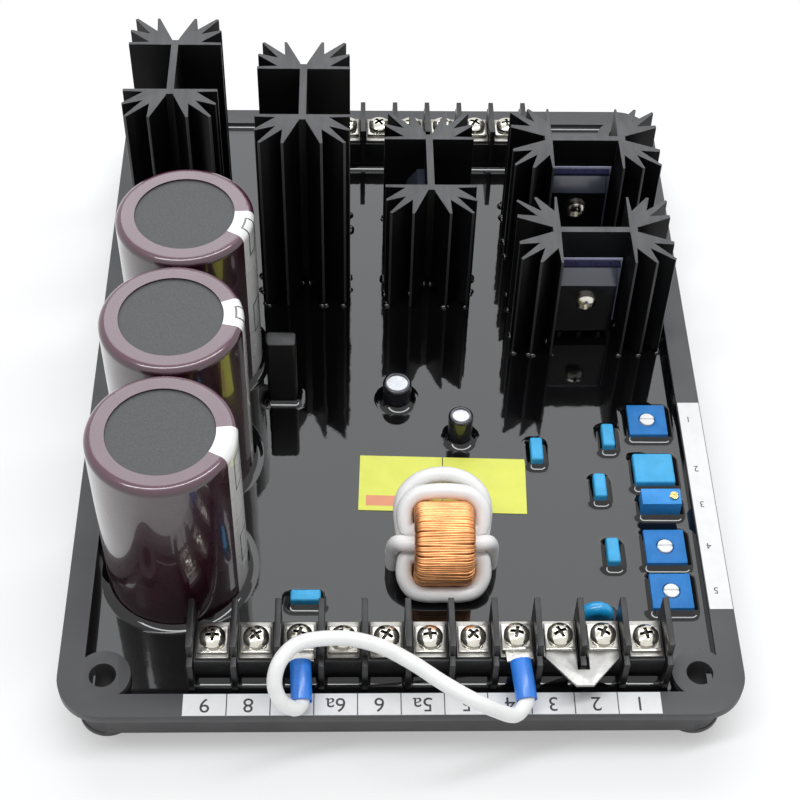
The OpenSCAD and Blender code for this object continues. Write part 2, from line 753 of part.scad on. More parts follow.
module clamp_washer() {
    difference() {
        translate([-washer_w / 2, screw_y - washer_w / 2, 0]) cube([washer_w, washer_w, washer_t]);
        translate([0, screw_y, -1]) cylinder(d = screw_d + 2 * screw_clear, h = washer_t + 2);
    }
}

module at_front(k) {
    translate([front_term_x(k), front_y, z_plate]) children();
}

module at_rear(k) {
    translate([rear_term_x(k), rear_y, z_plate]) mirror([0, 1, 0]) children();
}

module front_terminal_plates() {
    color([0.78, 0.76, 0.7]) for (k = [0:front_count - 1]) at_front(k) terminal_plate();
}

module rear_terminal_plates() {
    color([0.78, 0.76, 0.7]) for (k = [0:rear_count - 1]) at_rear(k) terminal_plate();
}

module front_clamp_washers() {
    color([0.8, 0.78, 0.72]) for (k = [0:front_count - 1])
        at_front(k) translate([0, 0, plate_t + front_raise(k)]) clamp_washer();
}

module rear_clamp_washers() {
    color([0.8, 0.78, 0.72]) for (k = [0:rear_count - 1])
        at_rear(k) translate([0, 0, plate_t]) clamp_washer();
}

module front_terminal_screws() {
    color("silver") for (k = [0:front_count - 1])
        at_front(k) translate([0, screw_y, plate_t + front_raise(k) + washer_t])
            rotate(37 * k) pan_screw(screw_head_d, screw_head_h, screw_d, screw_l);
}

module rear_terminal_screws() {
    color("silver") for (k = [0:rear_count - 1]) at_rear(k) translate([0, screw_y, plate_t + washer_t])
        rotate(53 * k) pan_screw(screw_head_d, screw_head_h, screw_d, screw_l);
}

// Link plate across two terminals, with a slot for the divider and two open screw slots
module terminal_link() {
    shoulder = divider_low_l;
    tip = 2;
    link_back = 3;
    slot_front = -0.6;
    slot = screw_d + 2 * fork_clear;
    color([0.88, 0.88, 0.86]) translate([front_x + (link_k + 1) * front_pitch, front_y, z_plate + plate_t])
        linear_extrude(link_t) difference() {
            polygon([[-link_w / 2, screw_y + link_back], [link_w / 2, screw_y + link_back],
                [link_w / 2, shoulder], [tip, -link_reach], [-tip, -link_reach], [-link_w / 2, shoulder]]);
            translate([-link_slot / 2, slot_front]) square([link_slot, 2 * screw_y]);
            for (s = [-1, 1]) translate([s * front_pitch / 2, screw_y]) {
                circle(d = slot);
                translate([-slot / 2, 0]) square([slot, 2 * link_back]);
            }
        }
}

// Jumper wire with a crimp lug and an insulating sleeve at each end
module at_lug(k) {
    translate([front_term_x(k), front_y + screw_y, lug_z]) rotate(lug_turn(k)) children();
}

module along_barrel() {
    translate([0, crimp_back - screw_y, 0]) rotate([90 + crimp_tilt, 0, 0]) children();
}

crimp_mouth_d = 4.6;
fork_back = 2.6;
fork_clear = 0.2;
module crimp_lug(k) {
    slot = screw_d + 2 * fork_clear;
    color([0.8, 0.8, 0.78]) at_lug(k) {
        translate([0, 0, -lug_t / 2]) linear_extrude(lug_t) difference() {
            translate([-lug_w / 2, crimp_back - screw_y]) square([lug_w, screw_y + fork_back - crimp_back]);
            circle(d = slot);
            translate([-slot / 2, 0]) square([slot, 2 * fork_back]);
        }
        along_barrel() cylinder(d = barrel_d, h = barrel_l);
    }
}

module crimp_sleeve(k) {
    color([0.18, 0.45, 0.88]) at_lug(k) along_barrel() difference() {
        cylinder(d = crimp_d, h = crimp_l);
        translate([0, 0, -1]) cylinder(d = barrel_d + 2 * shell_gap, h = barrel_l + 1);
        translate([0, 0, barrel_l])
            cylinder(d1 = wire_d + 2 * shell_gap, d2 = crimp_mouth_d, h = crimp_l - barrel_l);
    }
}

module jumper_wire() {
    color("white") tube(smooth_path(JUMPER_PATH, 3), wire_d / 2, [0, 0, 1]);
}

// Trimmers
module trimmer_body(k) {
    color([0.2, 0.45, 0.85]) translate([TRIMMERS[k][0], TRIMMERS[k][1], z_board]) difference() {
        translate([-trimmer_w / 2, -trimmer_w / 2, 0]) cube([trimmer_w, trimmer_w, trimmer_h]);
        translate([0, 0, trimmer_h - recess_t]) cylinder(d = rotor_d + 2 * rotor_gap, h = rotor_t);
        translate([0, 0, trimmer_h - recess_t - spindle_l - rotor_gap])
            cylinder(d = spindle_d + 2 * spindle_clear, h = spindle_l + rotor_gap + eps);
    }
}

module trimmer_rotor(k) {
    color("white") translate([TRIMMERS[k][0], TRIMMERS[k][1], z_board + trimmer_h - recess_t + shell_gap]) {
        difference() {
            cylinder(d = rotor_d, h = rotor_t);
            translate([-rotor_d, -slot_w / 2, rotor_t - slot_depth]) cube([2 * rotor_d, slot_w, rotor_t]);
        }
        translate([0, 0, -spindle_l]) cylinder(d = spindle_d, h = spindle_l + eps);
    }
}

module multiturn_body() {
    color([0.16, 0.4, 0.8]) difference() {
        translate([multi_at[0] - multi_l / 2, multi_at[1] - multi_w / 2, z_board])
            cube([multi_l, multi_w, multi_h]);
        translate([adjust_at[0], adjust_at[1], z_board + multi_h - adjust_l - rotor_gap])
            cylinder(d = adjust_d + 2 * spindle_clear, h = adjust_l + 1);
    }
}

module multiturn_screw() {
    color("gold") translate([adjust_at[0], adjust_at[1], z_board + multi_h - adjust_l]) difference() {
        cylinder(d = adjust_d, h = adjust_l + adjust_proud);
        translate([-adjust_d, -slot_w / 2, adjust_l + adjust_proud - slot_depth])
            cube([2 * adjust_d, slot_w, 1]);
    }
}

// Small capacitors and other parts on the board
module box_capacitor() {
    color([0.2, 0.52, 0.85]) translate([box_at[0], box_at[1], z_board]) linear_extrude(box_h)
        square([box_l, box_w], center = true);
}

module film_capacitors() {
    color([0.35, 0.68, 0.92]) for (f = FILMS) translate([f[0], f[1], z_board]) rotate(f[2])
        linear_extrude(film_h) square([film_l, film_w], center = true);
}

// A lens with a rounded rim
module dipped_disc() {
    color([0.1, 0.5, 0.85]) translate([dip_at[0], dip_at[1], z_dip]) rotate([90, 0, 0]) rotate_extrude() {
        translate([0, -dip_t / 2]) square([dip_d / 2 - dip_t / 2, dip_t]);
        translate([dip_d / 2 - dip_t / 2, 0]) intersection() {
            circle(d = dip_t);
            translate([0, -dip_t]) square(2 * dip_t);
        }
    }
}

module small_capacitor_can(k) {
    s = SMALLS[k];
    color("silver") translate([s[0], s[1], z_board])
        round_post(s[2] / 2 - small_sleeve_t - shell_gap, s[3] - small_sleeve_t - shell_gap, small_round);
}

module small_capacitor_sleeve(k) {
    s = SMALLS[k];
    color([0.06, 0.07, 0.1]) translate([s[0], s[1], z_board]) difference() {
        round_post(s[2] / 2, s[3], small_round + small_sleeve_t);
        translate([0, 0, -eps])
            round_post(s[2] / 2 - small_sleeve_t, s[3] - small_sleeve_t + eps, small_round);
        cylinder(r = s[2] / 2 - small_sleeve_t - small_lip, h = s[3] + 1);
    }
}

module upright_module() {
    color([0.07, 0.07, 0.08]) translate([module_at[0], module_at[1], z_board]) linear_extrude(module_h)
        round_rect(module_w, module_t, module_round);
}

// Current transformer
module ring(inner, outer, w, round) {
    rotate([0, 90, 0]) rotate_extrude() translate([(inner + outer) / 2, 0])
        round_rect(outer - inner, w, round);
}

module transformer_core() {
    color([0.3, 0.3, 0.32]) translate(coil_at)
        ring(coil_hole_r + winding_t, coil_r - winding_t, core_w, core_round);
}

module transformer_winding() {
    color([0.84, 0.5, 0.28]) translate(coil_at) difference() {
        ring(coil_hole_r, coil_r, coil_w, coil_round);
        ring(coil_hole_r + winding_t - shell_gap, coil_r - winding_t + shell_gap,
            core_w + 2 * shell_gap, core_round);
    }
}

// One closed turn through the ring's hole, in a plane that holds the ring's axis
function whole_turn(half) = concat(half, [for (k = [len(half) - 2:-1:1]) [-half[k][0], half[k][1]]]);
module turn(half, step) {
    path = [for (p = whole_turn(half)) [p[0], p[1] * sin(turn_tilt) - step * cos(turn_tilt),
        p[1] * cos(turn_tilt) + step * sin(turn_tilt)]];
    tube(smooth_loop(path, 3), lead_d / 2, [0, -cos(turn_tilt), sin(turn_tilt)], true);
}

module transformer_lead() {
    foot = z_board - coil_at[2] + 0.2;
    left_leg = [[tail_left, leg_y, foot], [tail_left, leg_y, foot / 2], [tail_left, leg_y, -3],
        [tail_left + 0.8, leg_y - 1, 0.8], [tail_left + 3.6, tail_y, tail_z]];
    right_leg = [[tail_right - 3.6, tail_y, tail_z], [tail_right - 0.8, leg_y - 1, 0.8],
        [tail_right, leg_y, -3], [tail_right, leg_y, foot / 2], [tail_right, leg_y, foot]];
    color([0.95, 0.95, 0.94]) translate(coil_at) {
        turn(INNER_TURN, 0);
        turn(OUTER_TURN, -hole_step);
        turn(LOWER_TURN, 0);
        tube(smooth_path(concat(left_leg, [[0, tail_y, tail_z]], right_leg), 3), lead_d / 2, [0, 1, 0]);
    }
}

// Labels
label_step = 1.7;
side_label_place = 69.3;
side_label_back = strip_back + side_label_place;
rating_place = [11.3, 43.9];
rating_at = [rating_place[0], strip_back + rating_place[1]];
module terminal_label() {
    edge = (rim_overhang + wall_t - rim_label_w) / 2;
    color("white") translate([front_x - label_step, -tray_d / 2 + edge, tray_h])
        cube([front_count * front_pitch, rim_label_w, label_t]);
}

module adjustment_label() {
    edge = (rim_overhang + wall_t - rim_label_w) / 2;
    color("white") translate([in_w / 2 + edge, side_label_back - side_label_l, tray_h])
        cube([rim_label_w, side_label_l, label_t]);
}

module rating_label() {
    color([0.9, 0.92, 0.35]) translate([rating_at[0], rating_at[1], z_resin]) rotate(rating_turn)
        linear_extrude(label_t) square([rating_l, rating_w], center = true);
}

tray();
circuit_board();
potting_resin();
capacitor_can(0);  // capacitor_can_1
capacitor_can(1);  // capacitor_can_2
capacitor_can(2);  // capacitor_can_3
capacitor_sleeve(0);  // capacitor_sleeve_1
capacitor_sleeve(1);  // capacitor_sleeve_2
capacitor_sleeve(2);  // capacitor_sleeve_3
capacitor_disc(0);  // capacitor_disc_1
capacitor_disc(1);  // capacitor_disc_2
capacitor_disc(2);  // capacitor_disc_3
heat_sink(0);  // heat_sink_1
heat_sink(1);  // heat_sink_2
heat_sink(2);  // heat_sink_3
heat_sink(3);  // heat_sink_4
heat_sink(4);  // heat_sink_5
power_device(0);  // power_device_1
power_device(1);  // power_device_2
power_device(2);  // power_device_3
power_device(3);  // power_device_4
power_device(4);  // power_device_5
device_screws();
front_terminal_block();
rear_terminal_block();
front_terminal_plates();
rear_terminal_plates();
front_clamp_washers();
rear_clamp_washers();
front_terminal_screws();
rear_terminal_screws();
terminal_link();
jumper_wire();
crimp_lug(lug_left_k);  // crimp_lug_left
crimp_lug(lug_right_k);  // crimp_lug_right
crimp_sleeve(lug_left_k);  // crimp_sleeve_left
crimp_sleeve(lug_right_k);  // crimp_sleeve_right
trimmer_body(0);  // trimmer_body_1
trimmer_body(1);  // trimmer_body_2
trimmer_body(2);  // trimmer_body_3
trimmer_rotor(0);  // trimmer_rotor_1
trimmer_rotor(1);  // trimmer_rotor_2
trimmer_rotor(2);  // trimmer_rotor_3
multiturn_body();
multiturn_screw();
box_capacitor();
film_capacitors();
dipped_disc();
small_capacitor_can(0);  // small_capacitor_can_1
small_capacitor_can(1);  // small_capacitor_can_2
small_capacitor_sleeve(0);  // small_capacitor_sleeve_1
small_capacitor_sleeve(1);  // small_capacitor_sleeve_2
upright_module();
transformer_core();
transformer_winding();
transformer_lead();
terminal_label();
adjustment_label();
rating_label();
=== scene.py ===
import json
import math
import random

import bpy
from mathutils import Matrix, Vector

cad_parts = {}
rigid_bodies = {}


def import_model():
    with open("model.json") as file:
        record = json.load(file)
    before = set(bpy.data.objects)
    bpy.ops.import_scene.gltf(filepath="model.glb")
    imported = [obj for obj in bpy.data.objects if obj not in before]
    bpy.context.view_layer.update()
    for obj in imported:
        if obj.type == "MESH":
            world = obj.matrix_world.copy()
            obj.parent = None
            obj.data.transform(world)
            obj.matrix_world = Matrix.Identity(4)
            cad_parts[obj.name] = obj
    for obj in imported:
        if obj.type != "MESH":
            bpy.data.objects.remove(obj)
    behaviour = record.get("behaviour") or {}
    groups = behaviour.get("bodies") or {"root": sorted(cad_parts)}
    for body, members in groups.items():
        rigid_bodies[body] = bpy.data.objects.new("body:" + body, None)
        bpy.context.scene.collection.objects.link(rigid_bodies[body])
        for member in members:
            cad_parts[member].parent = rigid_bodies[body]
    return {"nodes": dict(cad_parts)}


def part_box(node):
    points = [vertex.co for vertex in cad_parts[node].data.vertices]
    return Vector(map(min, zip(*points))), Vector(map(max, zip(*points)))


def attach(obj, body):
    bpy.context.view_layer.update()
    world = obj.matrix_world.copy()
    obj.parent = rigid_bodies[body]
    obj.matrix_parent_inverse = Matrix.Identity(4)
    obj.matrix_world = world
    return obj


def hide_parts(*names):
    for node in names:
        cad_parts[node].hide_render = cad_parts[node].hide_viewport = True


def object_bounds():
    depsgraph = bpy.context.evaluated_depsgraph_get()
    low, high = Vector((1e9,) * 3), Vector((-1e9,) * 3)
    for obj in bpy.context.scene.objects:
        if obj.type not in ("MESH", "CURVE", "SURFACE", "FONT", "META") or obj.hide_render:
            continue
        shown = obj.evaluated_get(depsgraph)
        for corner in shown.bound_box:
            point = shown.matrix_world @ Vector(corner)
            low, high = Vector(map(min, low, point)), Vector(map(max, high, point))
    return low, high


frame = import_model()
CAD_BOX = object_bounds()

bl_info = {
    "name": "Potted voltage regulator",
    "version": (1, 0, 0),
    "blender": (4, 5, 0),
    "location": "3D View > Sidebar > Regulator",
    "description": "Finishes the packed regulator: soft edges, wiring, windings, resin and print",
    "category": "Object",
}

# Places and sizes on the part are in millimetres; MM turns them into metres.
MM = 0.001
RESIN_Z = 14.0
RIM_LABEL_Z = 16.15
RATING_LABEL_Z = 14.15
PRINT_THICKNESS = 0.02
FRONT_TERMINALS, FRONT_PITCH = 11, 10
REAR_TERMINALS = 6
TRIMMERS_Y = (-17.6, -58, -71.1)
BOX_Y, MULTITURN_Y = -33.9, -45.2
RING_CENTRE = (10.3, -62.3, 23.6)
SINKS = range(1, 6)
CAPACITOR_WIDTH = 34.2
# Number, x, y and the heading of the white stripe in degrees.
CAPACITORS = ((1, -54.1, -62.6, -11.0), (2, -54.1, -28.1, 5.0), (3, -53.1, 6.4, -13.0))


class RegulatorSizes(bpy.types.PropertyGroup):
    tray_edge: bpy.props.FloatProperty(
        name="Tray edge", default=0.0005, unit="LENGTH",
        description="Rounding of the moulded tray's edges")
    plastic_edge: bpy.props.FloatProperty(
        name="Plastic edge", default=0.00025, unit="LENGTH",
        description="Rounding of the strips' and cases' edges")
    metal_edge: bpy.props.FloatProperty(
        name="Metal edge", default=0.00012, unit="LENGTH",
        description="Rounding of stamped and sawn metal edges")
    film_edge: bpy.props.FloatProperty(
        name="Film case edge", default=0.0006, unit="LENGTH",
        description="Rounding of the film capacitors' cases")
    device_edge: bpy.props.FloatProperty(
        name="Device edge", default=0.00045, unit="LENGTH",
        description="Rounding of the power devices' packages")
    wire_diameter: bpy.props.FloatProperty(
        name="Jumper diameter", default=0.0035, unit="LENGTH",
        description="Outside of the jumper's insulation")
    wire_length: bpy.props.FloatProperty(
        name="Jumper length", default=0.0923, unit="LENGTH",
        description="Length along the jumper between its two barrels")
    lead_diameter: bpy.props.FloatProperty(
        name="Lead diameter", default=0.004, unit="LENGTH",
        description="Outside of the transformer's primary lead")
    turn_diameter: bpy.props.FloatProperty(
        name="Winding wire", default=0.00078, unit="LENGTH",
        description="Diameter of the enamelled copper wire")
    turns: bpy.props.IntProperty(
        name="Turns", default=101,
        description="Turns of copper wire round the ring")
    meniscus_height: bpy.props.FloatProperty(
        name="Meniscus height", default=0.0009, unit="LENGTH",
        description="How far the resin creeps up a component")
    meniscus_reach: bpy.props.FloatProperty(
        name="Meniscus reach", default=0.0026, unit="LENGTH",
        description="How far the raised resin spreads round a component")


class RegulatorColours(bpy.types.PropertyGroup):
    tray: bpy.props.FloatVectorProperty(
        name="Tray", default=(0.05, 0.05, 0.053), subtype="COLOR",
        description="Moulded plastic of the tray")
    jumper: bpy.props.FloatVectorProperty(
        name="Jumper", default=(0.9, 0.9, 0.885), subtype="COLOR",
        description="Insulation of the jumper wire")
    crimp: bpy.props.FloatVectorProperty(
        name="Crimp sleeves", default=(0.03, 0.21, 0.74), subtype="COLOR",
        description="Vinyl of the crimp sleeves")
    trimmer: bpy.props.FloatVectorProperty(
        name="Trimmers", default=(0.024, 0.185, 0.51), subtype="COLOR",
        description="Cases of the square trimmers")
    multiturn: bpy.props.FloatVectorProperty(
        name="Multi-turn trimmer", default=(0.035, 0.28, 0.71), subtype="COLOR",
        description="Case of the multi-turn trimmer")
    film_case: bpy.props.FloatVectorProperty(
        name="Film cases", default=(0.05, 0.4, 0.73), subtype="COLOR",
        description="Cases of the film and box capacitors")
    dip: bpy.props.FloatVectorProperty(
        name="Dipped disc", default=(0.012, 0.36, 0.74), subtype="COLOR",
        description="Coating of the dipped disc")
    pad: bpy.props.FloatVectorProperty(
        name="Insulating pads", default=(0.55, 0.55, 0.74), subtype="COLOR",
        description="Sheets behind the power devices")
    copper: bpy.props.FloatVectorProperty(
        name="Copper", default=(0.82, 0.39, 0.165), subtype="COLOR",
        description="Enamelled wire of the transformer")
    lead: bpy.props.FloatVectorProperty(
        name="Primary lead", default=(0.87, 0.86, 0.85), subtype="COLOR",
        description="Insulation of the transformer's primary lead")
    rim_label: bpy.props.FloatVectorProperty(
        name="Rim labels", default=(0.8, 0.8, 0.8), subtype="COLOR",
        description="Paper of the labels on the rim")
    rating_label: bpy.props.FloatVectorProperty(
        name="Rating label", default=(0.74, 0.77, 0.11), subtype="COLOR",
        description="Paper of the label on the resin")
    rating_field: bpy.props.FloatVectorProperty(
        name="Rating field", default=(0.75, 0.3, 0.17), subtype="COLOR",
        description="Coloured field on the rating label")


class RegulatorStage(bpy.types.PropertyGroup):
    lens: bpy.props.FloatProperty(
        name="Lens", default=76.714,
        description="Focal length of the camera in millimetres")
    place: bpy.props.FloatVectorProperty(
        name="Place", default=(-0.011895, -0.299448, 0.360721), subtype="TRANSLATION",
        description="Where the camera stands")
    pitch: bpy.props.FloatProperty(
        name="Pitch", default=math.radians(50.0626), subtype="ANGLE",
        description="How far the camera looks down")
    yaw: bpy.props.FloatProperty(
        name="Yaw", default=math.radians(-1.0286), subtype="ANGLE",
        description="Turn of the camera about the vertical")
    roll: bpy.props.FloatProperty(
        name="Roll", default=math.radians(-1.2617), subtype="ANGLE",
        description="Sideways tilt of the camera")
    lamp_tint: bpy.props.FloatVectorProperty(
        name="Lamp tint", default=(0.955, 0.975, 1.0), subtype="COLOR",
        description="Colour of both lamps")
    strip_power: bpy.props.FloatProperty(
        name="Overhead strip", default=6.0,
        description="Power of the long strip lamp overhead in watts")
    back_power: bpy.props.FloatProperty(
        name="Rear softbox", default=5.6,
        description="Power of the softbox that the resin mirrors in watts")
    fill: bpy.props.FloatProperty(
        name="Room light", default=0.44,
        description="Strength of the even light from all sides")


def clear_selection():
    bpy.ops.object.select_all(action="DESELECT")


def active():
    return bpy.context.view_layer.objects.active


def pick(*pieces):
    clear_selection()
    for piece in pieces:
        piece.select_set(True)
    bpy.context.view_layer.objects.active = pieces[0]


def edit(piece):
    pick(piece)
    bpy.ops.object.mode_set(mode="EDIT")
    bpy.ops.mesh.select_all(action="SELECT")


def leave():
    bpy.ops.object.mode_set(mode="OBJECT")


def named(piece, name):
    piece.name = name
    piece.data.name = name
    return piece


def apply_place(piece):
    pick(piece)
    bpy.ops.object.transform_apply(location=True, rotation=True, scale=True)
    return piece


def joined(pieces, name):
    pick(*pieces)
    bpy.ops.object.join()
    return named(active(), name)


def smooth(piece, degrees=35):
    pick(piece)
    bpy.ops.object.shade_smooth_by_angle(angle=math.radians(degrees))
    return piece


def settle(piece, material, slot, *nodes, body="unit"):
    piece.data.materials.clear()
    piece.data.materials.append(material)
    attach(piece, body)
    if nodes:
        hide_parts(*nodes)
    return piece


def paint(material, *nodes):
    for node in nodes:
        data = frame["nodes"][node].data
        data.materials.clear()
        data.materials.append(material)


def softened(node, name, width, segments=2, shape=None):
    """A copy of a CAD node with its loose triangles merged and its edges rounded."""
    pick(frame["nodes"][node])
    bpy.ops.object.duplicate()
    piece = named(active(), name)
    bpy.ops.object.parent_clear(type="CLEAR_KEEP_TRANSFORM")
    for key in list(piece.keys()):
        del piece[key]
    bpy.ops.mesh.customdata_custom_splitnormals_clear()
    edit(piece)
    bpy.ops.mesh.remove_doubles(threshold=0.000002)
    bpy.ops.mesh.dissolve_limited(angle_limit=math.radians(0.6))
    bpy.ops.mesh.normals_make_consistent(inside=False)
    leave()
    if shape:
        shape(piece)
    bevel = piece.modifiers.new("edge", "BEVEL")
    bevel.width = width
    bevel.segments = segments
    bevel.limit_method = "ANGLE"
    bevel.angle_limit = math.radians(32)
    bpy.ops.object.modifier_apply(modifier=bevel.name)
    return smooth(piece)


def dress(node, name, material, slot, width, segments=2, body="unit"):
    """Puts a softened copy of a CAD node in the node's place."""
    return settle(softened(node, name, width, segments), material, slot, node, body=body)


def tube(name, runs, diameter, sides, cyclic=False):
    """One curve object with a round section, a spline for each run of points."""
    data = bpy.data.curves.new(name, "CURVE")
    data.dimensions = "3D"
    data.bevel_depth = diameter / 2
    data.bevel_resolution = sides
    data.use_fill_caps = True
    for points in runs:
        spline = data.splines.new("POLY")
        spline.points.add(len(points) - 1)
        for spot, at in zip(spline.points, points):
            spot.co = (at[0] * MM, at[1] * MM, at[2] * MM, 1)
        spline.use_cyclic_u = cyclic
    piece = bpy.data.objects.new(name, data)
    bpy.context.scene.collection.objects.link(piece)
    return piece


def meshed(piece):
    pick(piece)
    bpy.ops.object.convert(target="MESH")
    bpy.ops.object.shade_smooth()
    return active()


def through(points, steps, closed=False):
    """Points along a smooth line through the given ones."""
    count = len(points)
    line = []
    for k in range(count if closed else count - 1):
        spots = range(k - 1, k + 3)
        if closed:
            spots = [spot % count for spot in spots]
        else:
            spots = [min(max(spot, 0), count - 1) for spot in spots]
        a, b, c, d = (Vector(points[spot]) for spot in spots)
        for step in range(steps):
            t = step / steps
            line.append(0.5 * (2 * b + (c - a) * t + (2 * a - 5 * b + 4 * c - d) * t ** 2
                               + (3 * b - a - 3 * c + d) * t ** 3))
    return line if closed else line + [Vector(points[-1])]


def block(name, low, high):
    clear_selection()
    middle = [(a + b) / 2 * MM for a, b in zip(low, high)]
    bpy.ops.mesh.primitive_cube_add(size=1, location=middle)
    piece = named(active(), name)
    piece.scale = [(b - a) * MM for a, b in zip(low, high)]
    return apply_place(piece)


def lettering(text, size, x, y):
    """Figures printed on a rim label, turned to be read from the rear."""
    clear_selection()
    bpy.ops.object.text_add()
    data = active().data
    data.body = text
    data.size = size * MM
    data.align_x = "CENTER"
    data.align_y = "CENTER"
    data.extrude = PRINT_THICKNESS / 2 * MM
    bpy.ops.object.convert(target="MESH")
    piece = active()
    piece.location = (x * MM, y * MM, (RIM_LABEL_Z + PRINT_THICKNESS / 2) * MM)
    piece.rotation_euler = (0, 0, math.pi)
    return apply_place(piece)


def opaque(value):
    """A colour with full alpha, and anything else as it is."""
    return (*value, 1) if isinstance(value, tuple) else value


def shade(colour, factor):
    return tuple(min(channel * factor, 1) for channel in colour)


class Nodes:
    """Adds and links the nodes of a material or of the world."""

    def __init__(self, owner):
        owner.use_nodes = True
        self.owner = owner
        self.tree = owner.node_tree

    def add(self, kind, **settings):
        node = self.tree.nodes.new(kind)
        for key, value in settings.items():
            setattr(node, key, value)
        return node

    def put(self, socket, value):
        if isinstance(value, bpy.types.NodeSocket):
            self.tree.links.new(value, socket)
        else:
            socket.default_value = value

    def feed(self, node, *values):
        """Fills a node's first inputs and gives its first output."""
        for socket, value in zip(node.inputs, values):
            self.put(socket, value)
        return node.outputs[0]

    def math(self, kind, a, b=0.0, c=0.0):
        return self.feed(self.add("ShaderNodeMath", operation=kind), a, b, c)

    def hypot(self, a, b):
        return self.math("SQRT", self.math("MULTIPLY_ADD", a, a, self.math("MULTIPLY", b, b)))

    def watched(self):
        """1 on rays that show what they meet, 0 on rays that only carry light."""
        rays = self.add("ShaderNodeLightPath").outputs
        mirrored = self.math("MAXIMUM", rays["Is Glossy Ray"], rays["Is Transmission Ray"])
        return self.math("MAXIMUM", rays["Is Camera Ray"], mirrored)

    def blend(self, share, a, b, output):
        """Mixes two shaders into the named output."""
        mixed = self.feed(self.add("ShaderNodeMixShader"), share, a, b)
        self.put(self.tree.nodes[output].inputs["Surface"], mixed)


class Surface(Nodes):
    """The nodes of one material on the part's own coordinates."""

    # The colour sockets of a Mix node.
    MIX_A, MIX_B, MIX_RESULT = 6, 7, 2

    def __init__(self, name):
        super().__init__(bpy.data.materials.new(name))
        self.shader = self.tree.nodes["Principled BSDF"]
        self.place = self.add("ShaderNodeTexCoord").outputs["Object"]

    def axes(self, vector):
        node = self.add("ShaderNodeSeparateXYZ")
        self.put(node.inputs[0], vector)
        return node.outputs

    def attribute(self, name):
        return self.add("ShaderNodeAttribute", attribute_name=name).outputs["Fac"]

    def noise(self, scale, detail=2.0, rough=0.5, stretch=None):
        node = self.add("ShaderNodeTexNoise")
        place = self.place
        if stretch:
            mapping = self.add("ShaderNodeMapping")
            self.put(mapping.inputs["Vector"], self.place)
            mapping.inputs["Scale"].default_value = stretch
            place = mapping.outputs[0]
        self.put(node.inputs["Vector"], place)
        node.inputs["Scale"].default_value = scale
        node.inputs["Detail"].default_value = detail
        node.inputs["Roughness"].default_value = rough
        return node.outputs["Fac"]

    def spread(self, value, low, high, start=0.3, end=0.7):
        """Takes a value between start and end to one between low and high."""
        return self.feed(self.add("ShaderNodeMapRange"), value, start, end, low, high)

    def upward(self, start, end):
        """0 on walls and 1 on tops, by how far the surface faces up."""
        normal = self.add("ShaderNodeNewGeometry").outputs["Normal"]
        return self.spread(self.axes(normal)[2], 0, 1, start, end)

    def mix(self, share, a, b):
        node = self.add("ShaderNodeMix", data_type="RGBA")
        self.put(node.inputs["Factor"], share)
        self.put(node.inputs[self.MIX_A], opaque(a))
        self.put(node.inputs[self.MIX_B], opaque(b))
        return node.outputs[self.MIX_RESULT]

    def patches(self, scale, a, b, rough=0.5, stretch=None):
        """Soft patches of two colours."""
        return self.mix(self.spread(self.noise(scale, 3, rough, stretch), 0, 1), a, b)

    def bump(self, height, strength, depth):
        node = self.add("ShaderNodeBump")
        node.inputs["Strength"].default_value = strength
        node.inputs["Distance"].default_value = depth
        self.put(node.inputs["Height"], height)
        self.put(self.shader.inputs["Normal"], node.outputs[0])

    def set(self, **values):
        for key, value in values.items():
            self.put(self.shader.inputs[key.replace("_", " ")], opaque(value))
        return self.owner


def finish(name, colour, rough, metal=0.0, coat=0.0, mottle=(250, 0.15),
           grain=(1800, 0.08, 0.00005), specular=0.5, marked=None):
    """A surface with uneven colour and gloss and a fine grain, and a colour on marked faces.

    mottle is the patches' scale and strength, grain the scale, strength and depth of the bumps.
    """
    made = Surface(name)
    scale, uneven = mottle
    fine, strength, depth = grain
    made.bump(made.noise(fine), strength, depth)
    tone = made.patches(scale, shade(colour, 1 - uneven), shade(colour, 1 + uneven), 0.6)
    if marked:
        attribute, other = marked
        tone = made.mix(made.attribute(attribute), tone, other)
    gloss = made.spread(made.noise(scale * 2.3, 3), rough * 0.85, rough * 1.15)
    return made.set(Base_Color=tone, Roughness=gloss, Metallic=metal, Coat_Weight=coat,
                    Coat_Roughness=0.08, Specular_IOR_Level=specular)


def nickel(name, colour=(0.72, 0.69, 0.62), rough=0.22, grain=0.12, marked=None):
    return finish(name, colour, rough, metal=1.0, mottle=(600, 0.1),
                  grain=(900, grain, 0.00006), marked=marked)


